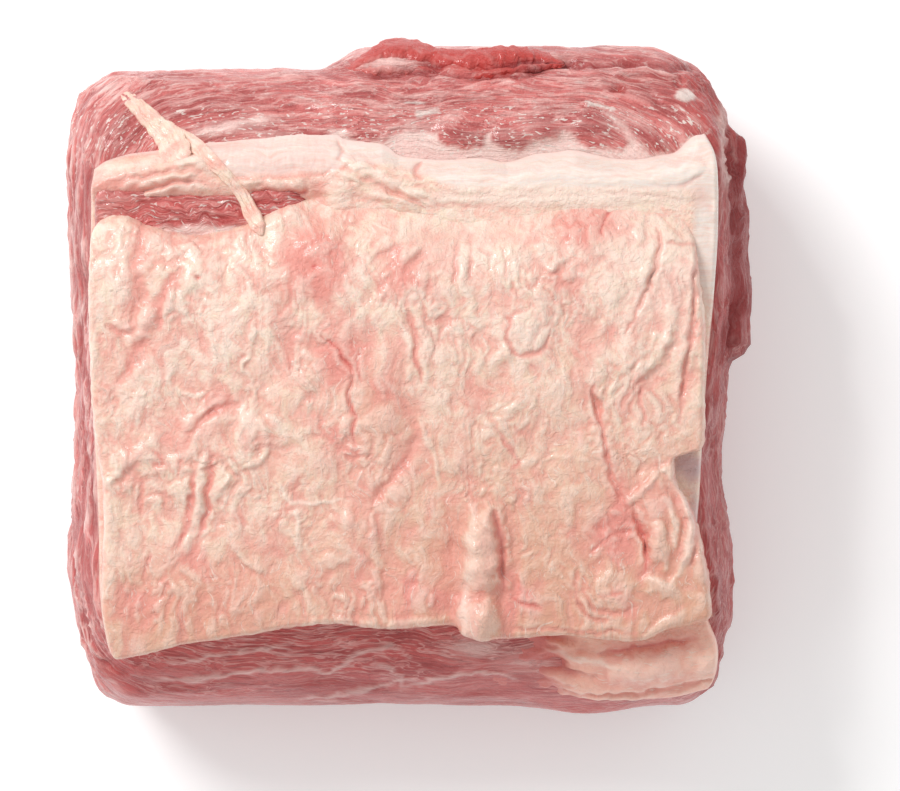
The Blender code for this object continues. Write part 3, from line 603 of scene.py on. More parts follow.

# Strokes: kind, width in pixels, height in millimetres, corners in pixels, tint and its strength.
# Spots: radii in pixels, height in millimetres, tint, its strength, centre, turn in degrees, edge.
# In the creases the red tint is the fat's own red together with painted shade.
CAP_STROKES = {
    "groove inside the left margin": (
        "groove", 10, 0.9, [137, 214, 138, 240, 136, 270, 146, 306], "wash", 0.7,
    ),
    "left lip of the groove": ("lap", 3, 0.5, [122, 236, 127, 262, 127, 290, 136, 322]),
    "diagonal ridge right of the knob": ("lap", 5, 0.5, [196, 278, 186, 292, 170, 308, 158, 330]),
    "shadow right of the knob": ("groove", 3, 0.9, [160, 308, 161, 320, 157, 332], "blush_and_shade", 0.7),
    "shadow left of the knob": ("groove", 2.5, 0.6, [140, 306, 138, 316, 139, 328], "blush_and_shade", 0.3),
    "fold left of the knob": ("groove", 4, 0.5, [104, 322, 118, 331, 132, 334, 135, 322], "blush_and_shade", 0.35),
    "crease under the margin": ("groove", 6, 0.5, [94, 392, 112, 384, 128, 370, 150, 350], "blush_and_shade", 0.4),
    "light ridge at the upper left": (
        "rope", 3, 0.7, [255, 318, 252, 338, 247, 354, 243, 366, 250, 380, 256, 396, 252, 408],
    ),
    "strand left of the light ridge": ("ridge", 3, 0.5, [222, 330, 214, 345, 217, 362, 209, 380, 212, 400]),
    # Painted shade under the lip above this arc.
    "shaded arc above the oval": (
        "groove", 5, 0.8, [188, 434, 203, 421, 213, 412, 226, 405, 240, 407], "blush_and_shade", 0.7,
    ),
    "pink band at the upper left": (
        "groove", 9, 0.7, [184, 262, 163, 298, 142, 340, 118, 382], "wash", 0.8,
    ),
    "lip above the shaded arc": ("lap", 4, 0.5, [238, 400, 222, 400, 208, 409, 196, 421, 184, 432]),
    "ridge round the oval": ("rope", 4, 0.9, [
        250, 410, 262, 424, 267, 440, 264, 456, 256, 462, 244, 468, 232, 480, 222, 490, 214, 503,
    ]),
    "long pale ridge low on the left": (
        "rope", 5, 1.1, [207, 450, 201, 469, 199, 500, 194, 526, 184, 556], "pale", 0.3,
    ),
    "left flank of the long ridge": (
        "groove", 4, 0.7, [199, 462, 193, 490, 188, 520, 177, 550], "wash", 0.9,
    ),
    "right flank of the long ridge": (
        "groove", 4, 0.9, [214, 458, 209, 480, 207, 510, 199, 540], "wash", 1.0,
    ),
    "shiny fold at the left edge": ("lap", 5, 1.4, [158, 458, 144, 458, 130, 464, 118, 474, 106, 484]),
    "crease above the shiny fold": ("groove", 3, 0.7, [154, 452, 163, 462, 150, 468], "blush_and_shade", 0.6),
    "pink line at the left": ("groove", 3, 0.7, [143, 478, 140, 496, 142, 515], "blush_and_shade", 0.6),
    "second pink line at the left": ("groove", 2.5, 0.5, [150, 552, 147, 566, 142, 580], "blush_and_shade", 0.5),
    "arc low on the left": ("groove", 3.5, 0.8, [143, 634, 147, 620, 160, 613], "blush_and_shade", 0.4),
    "bent fold low at the left": ("lap", 3.5, 0.8, [268, 572, 252, 568, 240, 556, 228, 540]),
    "diagonal ridge low in the middle": (
        "lap", 6, 0.7, [358, 553, 340, 560, 315, 574, 300, 583, 279, 599, 261, 622],
    ),
    "thin light line": (
        "ridge", 2, 0.5, [278, 480, 284, 494, 294, 503, 310, 503, 326, 502, 352, 500], "pale", 0.8,
    ),
    "thin light line going down": ("ridge", 2, 0.4, [296, 505, 298, 528, 297, 552], "pale", 0.6),
    "left line below the dome": (
        "lap", 4, 0.8, [350, 500, 352, 520, 354, 545, 366, 562, 374, 580, 372, 600], "blush_and_shade", 0.3,
    ),
    "strand below the dome": ("rope", 4, 0.9, [370, 512, 374, 528, 375, 552, 378, 580, 380, 600]),
    "right crease of the dome": (
        "groove", 7, 1.0, [417, 420, 414, 440, 404, 460, 395, 476, 383, 489, 372, 505], "blush_and_shade", 0.4,
    ),
    "strand right of the dome": ("rope", 3, 0.7, [420, 416, 424, 432, 432, 446, 437, 468, 440, 490]),
    "left line of the dome": ("groove", 2.5, 0.7, [349, 396, 353, 415, 353, 431, 356, 448], "blush_and_shade", 0.9),
    "red crease going down": (
        "groove", 2.6, 1.1, [318, 334, 332, 343, 342, 354, 348, 366, 353, 376], "blush_and_shade", 1.0,
    ),
    "red crease below": ("groove", 2.4, 0.7, [353, 376, 348, 392, 352, 410], "blush_and_shade", 0.8),
    "right branch of the red crease": (
        "groove", 2.5, 0.7, [372, 338, 361, 352, 358, 366, 362, 382], "blush_and_shade", 0.8,
    ),
    "ridge above the red crease": ("lap", 6, 0.5, [338, 342, 347, 326, 362, 312, 380, 298, 392, 284]),
    "pink strand to the top": ("ridge", 4, 0.8, [392, 284, 398, 270, 408, 254, 420, 246]),
    "cream fold at the top": ("lap", 5, 0.7, [392, 245, 382, 247, 374, 254, 366, 262]),
    "deep pink groove at the top": (
        "groove", 7, 1.1, [401, 290, 407, 276, 414, 265, 428, 252], "blush_and_shade", 0.4,
    ),
    "light ridge at the top": ("rope", 5, 0.6, [468, 232, 464, 254, 462, 280, 470, 300, 468, 318]),
    "shadow right of the light ridge": ("groove", 3, 0.6, [474, 240, 471, 260, 470, 280], "wash", 0.6),
    "shadow left of the light ridge": ("groove", 4, 0.6, [456, 240, 455, 260, 454, 284], "wash", 0.9),
    "long strand in the middle": ("ridge", 3, 0.6, [395, 300, 402, 325, 410, 350, 408, 376, 414, 400]),
    "second long strand in the middle": ("ridge", 3.2, 0.6, [418, 308, 426, 340, 424, 366, 432, 392]),
    "third long strand in the middle": ("rope", 3.2, 0.6, [450, 292, 456, 320, 462, 345, 458, 368]),
    "crease left of the middle strands": (
        "groove", 3, 0.6, [404, 300, 414, 330, 416, 360, 424, 384], "wash", 0.7,
    ),
    "crease in the pink patch": (
        "groove", 2.5, 0.8, [613, 205, 606, 216, 602, 226, 606, 238], "blush_and_shade", 1.0,
    ),
    "white fold shaped like a V": (
        "lap", 4, 1.1, [576, 246, 566, 256, 553, 268, 544, 262, 537, 244], "pale", 0.5,
    ),
    "orange crease on the right": ("groove", 2.6, 1.0, [
        654, 226, 661, 236, 658, 259, 650, 285, 645, 297, 633, 320, 625, 335,
    ], "blush_and_shade", 0.6),
    "lip left of the orange crease": ("lap", 3, 0.6, [650, 232, 652, 256, 644, 284, 636, 304]),
    "crease across the corner flaps": ("groove", 3, 0.6, [668, 243, 682, 245, 696, 243], "blush_and_shade", 0.5),
    "corner flap": ("lap", 4, 0.9, [676, 208, 688, 218, 696, 232, 700, 246], "pale", 0.4),
    "second corner flap": ("lap", 3, 0.6, [654, 212, 664, 226, 674, 236, 684, 240]),
    "crease inside the right edge": ("groove", 3, 0.8, [
        699, 246, 695, 270, 694, 300, 691, 335, 686, 358, 683, 389, 678, 424,
    ], "blush_and_shade", 0.55),
    "upper right edge of the cap": (
        "lap", 4, 0.8, [694, 250, 691, 276, 690, 306, 687, 338, 681, 366, 678, 396, 672, 424],
    ),
    "rim of the bubble": ("groove", 3, 0.6, [
        549, 322, 546, 344, 532, 354, 514, 350, 506, 334, 512, 316, 530, 309,
    ], "wash", 0.6),
    "small lip below the bubble": ("lap", 4, 0.6, [500, 346, 508, 350, 512, 364]),
    "ridge on the right": ("lap", 5, 1.2, [678, 306, 670, 330, 662, 352, 650, 366, 632, 382]),
    "wispy ridge on the right": ("rope", 3, 0.6, [656, 334, 648, 350, 636, 358, 624, 372]),
    "short ridge on the right": ("lap", 4, 0.8, [640, 356, 624, 366, 615, 383, 601, 400]),
    "pink line right of the short ridge": (
        "groove", 3, 0.7, [642, 384, 640, 398, 644, 414, 642, 430], "blush_and_shade", 0.5,
    ),
    "fold left of the dark crease": ("groove", 2.6, 0.7, [592, 386, 596, 404, 604, 414], "blush_and_shade", 0.4),
    "long dark crease on the right": ("groove", 3, 1.1, [
        593, 378, 598, 410, 603, 428, 606, 446, 613, 480, 620, 496, 629, 510,
    ], "blush_and_shade", 0.7),
    "small fold left of the dark crease": (
        "groove", 2.5, 0.6, [515, 424, 520, 436, 522, 428], "blush_and_shade", 0.5,
    ),
    "curved line on the right": ("groove", 2.5, 0.5, [500, 432, 512, 452, 520, 464, 510, 470], "wash", 0.7),
    "pale bow on the right": ("ridge", 4, 0.6, [520, 466, 540, 460, 560, 456, 590, 462]),
    "pink flap inside the notch": ("lap", 5, 1.0, [640, 480, 652, 470, 664, 478, 668, 492]),
    "ragged flap at the notch": ("lap", 6, 3.0, [
        676, 576, 684, 560, 688, 546, 690, 528, 688, 510, 682, 492, 672, 478, 660, 468,
    ], "pale", 0.6),
    "shadow outside the ragged flap": (
        "groove", 3, 1.6, [690, 566, 695, 546, 696, 526, 693, 508, 686, 490], "blush_and_shade", 0.4,
    ),
    "ragged flap, lower edge": ("lap", 4, 1.6, [644, 572, 656, 580, 668, 584, 676, 572], "pale", 0.4),
    "lump on the ragged flap": ("rope", 7, 2.2, [652, 520, 660, 536, 658, 556, 664, 572]),
    "fold inside the ragged flap": ("rope", 4, 1.2, [662, 496, 672, 512, 676, 530, 674, 548], "pale", 0.4),
    "fold above the pink patch": ("rope", 5, 1.2, [622, 504, 634, 496, 646, 486, 658, 474]),
    "outer line at the notch": ("lap", 3, 0.8, [686, 510, 694, 530, 700, 552, 706, 580, 712, 606]),
    "crease above the oval": ("groove", 3, 0.8, [588, 556, 600, 544, 618, 534, 640, 528], "blush_and_shade", 0.8),
    "crease right of the oval": ("groove", 4, 1.8, [634, 510, 642, 530, 647, 556, 641, 584], "blush_and_shade", 0.9),
    "crease round the oval": (
        "groove", 3, 1.0, [584, 576, 584, 592, 594, 608, 614, 614, 636, 606], "blush_and_shade", 0.4,
    ),
    "second line round the oval": (
        "groove", 3, 0.9, [577, 570, 576, 596, 590, 616, 614, 622], "blush_and_shade", 0.4,
    ),
    "mark on the oval": ("groove", 2.5, 0.4, [596, 594, 608, 596, 623, 593], "blush_and_shade", 0.4),
    "pleat at the front edge": (
        "rope", 17, 5.0, [482, 500, 483, 530, 483, 560, 481, 590, 480, 614, 481, 650],
    ),
    # A ridge with a painted highlight on the pleat's left side.
    "lit side of the pleat": (
        "ridge", 7, 1.2, [470, 524, 470, 560, 467, 585, 464, 612, 466, 636], "pale", 0.7,
    ),
    "crease right of the pleat": (
        "groove", 4.5, 2.0, [492, 506, 498, 530, 501, 556, 501, 580, 503, 606], "blush_and_shade", 0.8,
    ),
    "upper line of the front edge": (
        "groove", 2.4, 0.6, [500, 627, 520, 630, 552, 629, 584, 634, 612, 631, 642, 636], "blush_and_shade", 0.3,
    ),
    "second line of the front edge": ("lap", 2.4, 0.7, [640, 640, 652, 630, 664, 620, 684, 612, 704, 604]),
    "fold under the front edge": ("lap", 3, 0.8, [300, 624, 330, 620, 380, 621, 430, 619, 456, 616]),
    "red streak low in the middle": (
        "groove", 3, 0.8, [508, 596, 520, 602, 532, 606, 542, 608], "blush_and_shade", 0.9,
    ),
    "curl low in the middle": ("rope", 2.6, 0.8, [338, 606, 332, 600, 338, 596, 347, 600, 344, 608]),
    "small strand low in the middle": ("rope", 2.6, 0.8, [433, 592, 431, 602, 428, 608]),
    "ridge above the pleat": ("lap", 4, 1.0, [488, 488, 478, 500, 472, 514, 474, 528]),
}
CAP_SPOTS = {
    "ragged flap": ((22, 46), 1.6, "", 0, (666, 524), -16, 4),
    "bottom of the pleat": ((24, 20), 1.4, "", 0, (480, 624), 0, 4),
    "pale back edge": ((140, 11), 0, "pale", 1.0, (560, 196), 0, 4),
    # Painted light: paler fat over the upper part of the cap.
    "painted light at the upper right": ((56, 60), 0, "pale", 0.45, (650, 270), 0, 3),
    "painted light at the top": ((60, 40), 0, "pale", 0.4, (470, 240), 0, 3),
    "knob": ((8, 12), 2.2, "", 0, (147, 319), -10, 2.4),
    "lump under the knob": ((9, 6), 1.3, "", 0, (143, 336), 0, 2.5),
    "lump left of the knob": ((12, 8), 0.6, "", 0, (122, 322), 10, 2.5),
    "red pit at the upper left": ((3.2, 3.2), -0.9, "blush_and_shade", 1.0, (197, 277), 0, 2),
    "oval bulge": ((13, 23), 1.2, "", 0, (246, 434), 0, 3),
    "bulge left of the long ridge": ((14, 17), 1.0, "", 0, (184, 486), 0, 3),
    "bulge above the long ridge": ((16, 14), 0.7, "", 0, (186, 454), 0, 2.5),
    "bulge low on the left": ((24, 22), 0.7, "", 0, (196, 592), 0, 2.5),
    "smooth dome": ((25, 46), 1.6, "wash", 0.35, (378, 406), -6, 3),
    "amber of the dome": ((24, 44), 0, "amber_and_shade", 0.5, (378, 406), -6, 3),
    "halo of the red spot": ((34, 38), 0.4, "wash", 1.2, (316, 260), 0, 3),
    "red spot": ((7, 7), -0.7, "blush_and_shade", 1.0, (315, 266), -30, 2),
    "small red spot": ((4, 4), -0.3, "blush_and_shade", 0.6, (332, 252), 0, 2),
    "pink below the fold at the top": ((14, 9), 0, "blush_and_shade", 0.3, (384, 254), 0, 2),
    "pink patch at the upper right": ((40, 22), 0.2, "wash", 1.0, (590, 222), 4, 2),
    "red in the pink patch": ((12, 12), -0.3, "blush_and_shade", 0.6, (604, 222), 0, 2),
    "bubble": ((19, 19), 0.7, "pale", 0.4, (528, 332), 0, 4),
    "pink below the V": ((20, 22), -0.3, "wash", 0.7, (560, 278), 0, 2),
    "pink patch low on the right": ((36, 22), -0.5, "wash", 1.3, (616, 530), -30, 2),
    "pit in the pink patch": ((6, 4), -0.7, "blush_and_shade", 0.8, (601, 527), 0, 2),
    "second pit in the pink patch": ((5, 5), -0.7, "blush_and_shade", 0.9, (637, 522), 0, 2),
    "smooth oval low on the right": ((26, 18), 1.1, "", 0, (612, 588), 0, 4),
    "pink at the crease": ((34, 32), -0.6, "wash", 1.2, (342, 357), 30, 2),
    "dent left of the crease": ((26, 12), -0.5, "wash", 0.6, (318, 344), 10, 2),
    "pink below the dome": ((22, 40), 0, "wash", 0.55, (366, 500), 0, 2),
    "pink left of the dome": ((30, 24), 0, "wash", 0.5, (346, 446), 0, 2),
    "pink of the top groove": ((22, 26), 0, "wash", 0.8, (412, 268), 20, 2),
    "pink of the left groove": ((15, 44), 0, "wash", 0.7, (139, 262), 0, 2),
    "pink below the groove": ((30, 20), 0, "wash", 0.4, (130, 360), 0, 2),
    "orange low at the left margin": ((16, 22), 0, "blush_and_shade", 0.25, (112, 378), 0, 2),
    "pink low in the middle": ((70, 24), 0, "wash", 0.55, (410, 590), 0, 2),
    "pink left of the pleat": ((14, 40), 0, "wash", 0.5, (448, 560), 0, 2),
    "pink on the pleat": ((10, 34), 0, "wash", 0.55, (480, 590), 0, 2),
    "pink beside the ragged flap": ((24, 18), 0, "wash", 0.7, (520, 600), 10, 2),
    "pink under the oval bulge": ((30, 22), 0, "wash", 0.45, (178, 560), 0, 2),
    "pink low on the left": ((34, 20), 0, "wash", 0.5, (150, 600), 0, 2),
    # Painted shade: darker amber low on the left, towards the front.
    "warm low on the left": ((110, 48), 0, "amber_and_shade", 0.6, (190, 610), -8, 3),
    "pink right of that": ((50, 30), 0, "wash", 0.5, (225, 596), -20, 2),
    "pink above the light ridge": ((16, 24), 0, "wash", 0.4, (256, 384), 0, 2),
    "pink on the arc's left": ((20, 14), 0, "wash", 0.5, (206, 428), -20, 2),
    "pink right of the dome": ((12, 30), 0, "wash", 0.6, (397, 466), 0, 2),
    "pink along the pleat": ((10, 46), 0, "wash", 0.5, (490, 556), 0, 2),
    "pink of the right margin": ((9, 60), 0, "wash", 0.6, (686, 512), -14, 2),
    "pink below the pale edge": ((70, 11), 0, "wash", 0.45, (470, 238), 0, 2),
    "pink beside the pit": ((26, 16), 0, "wash", 0.8, (628, 534), -20, 3),
    "pink upper left of the arc": ((26, 22), 0, "wash", 0.5, (176, 424), 0, 2),
    "pink at the light ridge": ((12, 30), 0, "wash", 0.5, (447, 262), 0, 2),
}

# In the creases the red tint is the fat's own red together with painted shade.
SEAM_STROKES = {
    "lump at the far left": ("rope", 6, 1.0, [98, 168, 112, 165, 128, 166, 142, 170]),
    "upper fold": ("rope", 4.2, 1.5, [118, 186, 134, 184, 152, 181, 172, 177, 198, 174]),
    "shadow below the upper fold": (
        "groove", 3, 0.7, [130, 192, 150, 189, 176, 184, 204, 181], "blush_and_shade", 0.5,
    ),
    "lower fold": ("rope", 3.8, 1.6, [136, 197, 150, 194, 172, 190, 198, 186, 206, 188], "pale", 0.5),
    "shadow above the upper fold": ("groove", 3, 0.6, [130, 178, 160, 172, 178, 168], "blush_and_shade", 0.3),
    "upper strand": ("rope", 5, 1.3, [170, 166, 184, 160, 198, 162, 214, 172]),
    "edge of the white strap": ("groove", 3, 0.7, [232, 178, 262, 178, 300, 176, 338, 170], "blush_and_shade", 0.2),
    "fold below the strap": ("rope", 6, 1.6, [240, 183, 262, 180, 284, 182, 298, 186]),
    "shadow below that fold": ("groove", 3.5, 1.4, [252, 192, 276, 192, 300, 193, 310, 190], "blush_and_shade", 0.9),
    "pale cylinder": ("rope", 5, 1.5, [342, 160, 360, 166, 384, 178, 408, 190, 440, 200], "pale", 0.6),
    "second cylinder": ("rope", 5, 1.3, [352, 184, 372, 192, 396, 202, 420, 212]),
    "third cylinder": ("rope", 4, 1.1, [330, 172, 350, 176, 368, 182]),
    "crease between the cylinders": (
        "groove", 3, 0.8, [352, 174, 376, 184, 402, 197, 430, 208], "blush_and_shade", 0.3,
    ),
    "long line of the strap": ("lap", 3, 0.4, [640, 186, 600, 184, 560, 186, 500, 188, 450, 190, 430, 184]),
    "upper long line": ("groove", 2.2, 0.2, [430, 182, 500, 181, 560, 180, 620, 176, 690, 174]),
    "lower long line": (
        "groove", 2.6, 0.35, [450, 196, 500, 198, 560, 195, 640, 194, 684, 200], "wash", 0.25,
    ),
    "bottom long line": ("groove", 2.6, 0.4, [400, 186, 430, 200, 470, 206, 520, 200], "wash", 0.3),
    "slit in the strap": ("groove", 3, 1.4, [396, 150, 404, 148, 418, 150, 430, 157], "dark", 1.0),
    "step in the strap": ("groove", 3, 0.8, [334, 138, 342, 150, 340, 160, 350, 164]),
    "cut through the strap": ("groove", 2.5, 1.0, [420, 160, 416, 170, 424, 180], "blush_and_shade", 0.4),
    "right strap step": ("lap", 4, 0.7, [706, 168, 690, 176, 668, 184, 650, 182]),
    "ridge of the right rim": ("ridge", 4, 0.7, [712, 150, 717, 175, 716, 210, 713, 250]),
    "roll at the front corner": ("ridge", 16, 2.6, [724, 654, 690, 660, 650, 666, 606, 672], "pale", 0.15),
    "crease below the roll": (
        "groove", 3, 1.0, [716, 676, 690, 684, 656, 690, 620, 694, 590, 696], "blush_and_shade", 0.5,
    ),
    "shadowed edge at the front corner": (
        "groove", 4, 1.2, [596, 656, 620, 650, 648, 646, 676, 641, 700, 638], "blush_and_shade", 0.9,
    ),
    "thin line at the front corner": (
        "ridge", 2.5, 0.4, [540, 652, 566, 658, 596, 662, 630, 666], "pale", 0.7,
    ),
    "lower edge line": ("groove", 2.5, 0.7, [560, 696, 620, 696, 690, 688], "blush_and_shade", 0.5),
}
SEAM_SPOTS = {
    "lump at the left": ((16, 7), 0.9, "", 0, (112, 164), -10, 2.5),
    "lump right of it": ((14, 7), 0.9, "", 0, (152, 160), -10, 2.5),
    "lobe right of the folds": ((9, 9), 1.4, "", 0, (296, 184), 0, 3),
    "big lobe": ((13, 16), 1.6, "", 0, (340, 196), -20, 3),
    "pink between the lobes": ((8, 14), -0.5, "blush_and_shade", 0.5, (316, 192), 0, 2),
    "pink at the right end": ((10, 10), 0, "wash", 0.4, (700, 196), 0, 2),
    "orange shadow at the front corner": ((54, 9), 0, "blush_and_shade", 0.6, (650, 645), -8, 2),
    "pink of the front corner": ((60, 26), 0, "wash", 0.3, (600, 672), 0, 2),
    "lobe at the back right corner": ((18, 9), 1.0, "", 0, (692, 142), -28, 3),
    "orange under the left end": ((44, 12), -0.4, "wash", 0.6, (116, 188), 6, 3),
    "pale below the strap": ((150, 10), 0, "pale", 1.0, (560, 197), 0, 4),
    "orange of the front corner": ((70, 24), 0, "wash", 0.5, (650, 680), -8, 3),
    "membrane at the tongue's left end": ((32, 26), 0, "dark", 0.8, (528, 668), 0, 2),
    "bare skin in the notch": ((15, 16), 0, "skin", 1.0, (689, 467), 0, 5),
    "bare skin below the notch": ((6, 34), 0, "skin", 0.7, (699, 520), -10, 4),
}

MEAT_STROKES = {
    # Painted shade in this crease.
    "crease before the second muscle": ("groove", 5, 1.8, [
        545, 66, 562, 63, 602, 65, 634, 63, 672, 68, 694, 71, 709, 81, 718, 96, 726, 118,
    ], "deep", 0.9),
    # Painted shade in this groove.
    "groove beside the rib meat": ("groove", 7, 2.6, [
        722, 108, 730, 150, 733, 200, 735, 250, 735, 300, 732, 340, 728, 368,
    ], "deep", 0.8),
    "silver strip": ("rope", 6, 0.7, [184, 140, 210, 131, 240, 125, 258, 120, 274, 115], "film", 1.0),
    "thin vein": ("ridge", 2, 0.3, [288, 93, 302, 97, 314, 104, 332, 108], "white", 0.6),
    "white streak": ("rope", 3.5, 0.7, [582, 102, 592, 106, 604, 107, 620, 111], "white", 1.0),
    "trail of the white streak": (
        "ridge", 5, 0.4, [600, 112, 614, 118, 624, 130, 634, 142, 650, 152], "film", 0.9,
    ),
    "pale smear": ("ridge", 5, 0.4, [412, 118, 422, 114, 434, 112, 442, 113], "white", 0.8),
    "thin pale smear": ("ridge", 2, 0.3, [402, 104, 416, 102, 430, 105], "white", 0.8),
    "second pale smear": ("ridge", 3, 0.3, [474, 126, 480, 134, 484, 146, 488, 156], "white", 0.5),
    # Painted shade in this crease.
    "orange crease at the back right": ("groove", 4, 0.9, [608, 92, 616, 90, 626, 92], "deep", 0.8),
    "shadow under the left of the lip": (
        "groove", 4, 1.0, [348, 70, 380, 75, 414, 73, 436, 71], "deep", 0.9,
    ),
    "shadow under the right of the lip": (
        "groove", 4, 1.0, [436, 72, 474, 78, 516, 74, 560, 68], "deep", 0.8,
    ),
    "ridge at the back right": ("lap", 4, 0.8, [700, 96, 690, 86, 676, 78, 650, 74, 620, 76, 590, 84]),
    # Painted shade in this groove.
    "groove at the back right": ("groove", 4, 1.0, [640, 84, 652, 96, 668, 112, 684, 124], "deep", 0.5),
    "first front seam": ("rope", 2.2, 0.4, [162, 658, 184, 662, 219, 655, 253, 651, 297, 642], "film", 0.6),
    "second front seam": ("rope", 2.4, 0.5, [
        128, 673, 171, 679, 214, 675, 260, 668, 310, 668, 327, 673, 355, 655, 384, 647, 401, 649, 414, 662,
    ], "film", 0.6),
    "third front seam": ("ridge", 2.2, 0.4, [292, 701, 362, 690, 420, 677], "film", 0.6),
    "fourth front seam": ("ridge", 2.2, 0.4, [400, 691, 443, 678, 487, 673, 521, 680], "film", 0.6),
    "short front seam": ("ridge", 2.0, 0.4, [372, 660, 392, 668, 404, 680, 398, 692], "film", 0.5),
    # Painted shade in this hollow.
    "hollow of the front left corner": ("groove", 5, 0.8, [102, 660, 116, 670, 130, 672], "deep", 0.6),
}
MEAT_SPOTS = {
    "red under the lip": ((42, 8), 0.4, "bright", 0.9, (482, 66), 0, 4),
    "torn film under the lip": ((24, 6), 0.6, "film", 0.7, (388, 64), 0, 3),
    # Painted shade in the pits under the lip.
    "pit under the lip": ((13, 6), -1.2, "deep", 1.1, (432, 65), 0, 3),
    "long pit under the lip": ((24, 5), -0.9, "deep", 1.1, (541, 65), -4, 3),
    "first dark bundle": ((22, 11), 1.1, "deep", 0.42, (461, 136), 8, 4),
    "second dark bundle": ((21, 13), 1.2, "deep", 0.42, (508, 138), -4, 4),
    "third dark bundle": ((19, 12), 1.0, "deep", 0.38, (541, 130), 4, 4),
    "fourth dark bundle": ((22, 15), 1.1, "deep", 0.45, (594, 130), 30, 4),
    "fifth dark bundle": ((26, 9), 1.2, "deep", 0.5, (650, 138), 26, 4),
    "film above the bundles": ((26, 6), 0, "film", 0.5, (416, 128), 0, 2),
    "darker meat at the back left": ((110, 24), 0, "deep", 0.2, (230, 104), 0, 3),
    "silver skin by the fat corner": ((40, 16), 0, "film", 0.3, (528, 660), 0, 3),
    "fat spot at the back right": ((10, 7), 0.7, "white", 1.0, (684, 96), 20, 4),
    "wet red by the strand": ((30, 26), 0, "deep", 0.45, (120, 128), 0, 3),
    "orange corner": ((8, 5), 0.8, "bright", 1.0, (114, 76), -20, 2),
    "orange at the left corner": ((5, 6), 0.8, "bright", 1.0, (80, 96), 0, 2),
    "bright red at the back right": ((14, 14), 0.3, "bright", 0.6, (700, 118), 0, 2),
    "red pit": ((6, 4), -0.8, "bright", 0.8, (619, 90), 0, 2),
    "dark rib meat": ((15, 130), 0, "deep", 0.9, (747, 240), 0, 4),
    "dark lower right": ((12, 60), 0, "deep", 0.5, (726, 590), 0, 3),
    "bright front right": ((50, 8), 0.5, "bright", 1.2, (598, 706), 0, 3),
    # Painted sheen: pale film colour on a glossy patch of the front.
    "gloss patch at the front": ((26, 10), 0, "film", 0.7, (474, 648), 0, 2),
    "orange front left corner": ((10, 6), 0.4, "bright", 0.7, (114, 672), 0, 2),
    "silver membrane at the right": ((6, 44), 0, "film", 0.9, (722, 150), -4, 3),
}


def shape_cap(points, cells):
    """The places and the tints of the upper fat's points."""
    u, v, w = points.T
    share, plan = laid(u, v, w, CAP_OUTLINE, CAP_EDGE, *CAP_FORM)
    ragged = warped(plan, 0.55, 3.0, 71) - plan
    plan = plan + ragged * (1 - share)[:, None]
    x, y = plan.T
    px, py = seen_at(on_meat(x, y, cap_height(x, y)))
    carving = Carving(plan, px, py)
    carving.all(CAP_STROKES, CAP_SPOTS)

    swirled = warped(warped(plan, 3.4, 12.0, 21), 0.9, 3.2, 25)
    worked = 0.2 + 0.8 * ramp(-0.15, 0.35, grain(plan, 17, 13, 2))
    lumpy = ramp(-0.35, 0.25, grain(plan, 24, 7) + 0.5 * ramp(330, 120, px) - 0.15)
    stringy = ramp(-0.3, 0.3, grain(plan, 20, 11) + 0.3 * hill(px, 440, 90))
    calm = 1 - 0.75 * mound(px, py, (378, 404), (26, 46))
    calm *= 1 - 0.6 * mound(px, py, (612, 588), (28, 20))
    calm *= 1 - 0.6 * ramp(115, 92, px)
    calm *= 1 - 0.9 * mound(px, py, (480, 580), (21, 66), 4)
    height = 1.0 * grain(plan, (15, 18), 5, 2) + 0.45 * grain(swirled, (5, 7), 12, 2)
    rough = 0.55 * lobes(swirled, (4.4, 5.8), 5) * lumpy + 0.26 * lobes(swirled, (2.1, 2.9), 6)
    rough += 0.38 * wrinkles(swirled, (1.7, 13), 8) * stringy
    rough += 0.10 * grain(swirled, (1.1, 1.7), 10, 2)
    height += (rough - 0.3) * worked * calm
    height += 0.9 * carving.height
    hollow_shade = hollows(height, cells, 3, 10)
    inner = np.clip(share * 1.3 - 0.2, 0, 1)
    surface, strap = cap_height(x, y), strap_height(x, y)
    merged = ramp(0.2, 3.0, surface - strap)
    base = np.minimum(CAP_BASE - 0.8, strap - 0.6)
    base = -0.4 + (base + 0.4) * ramp(2, 12, v * CAP_SIZE[1])
    top = surface + height * (0.35 + 0.65 * merged) * inner
    offset = base + (top - base) * (0.30 + 0.70 * share) * w
    tints = carving.tints
    pinkness = 0.5 * ramp(0.05, 0.55, grain(swirled, (10, 14), 31, 3))
    tints["wash"] = tints["wash"] + pinkness * (1 - 0.7 * ramp(115, 95, px))
    # Painted shade: the fat turns darker amber towards the front and the right, where it slopes away from
    # the light.
    tints["amber_and_shade"] = tints["amber_and_shade"] + ramp(240, 640, py) * (0.4 + 0.6 * ramp(200, 480, px))
    # Pink painted shade in the hollows, partly the fat's own pink, and a pale painted highlight on the
    # crests.
    tints["hollow_shade"] = hollow_shade * 2.0
    tints["crest_highlight"] = -hollow_shade * 1.8
    return on_meat(x, y, offset), tints, swirled


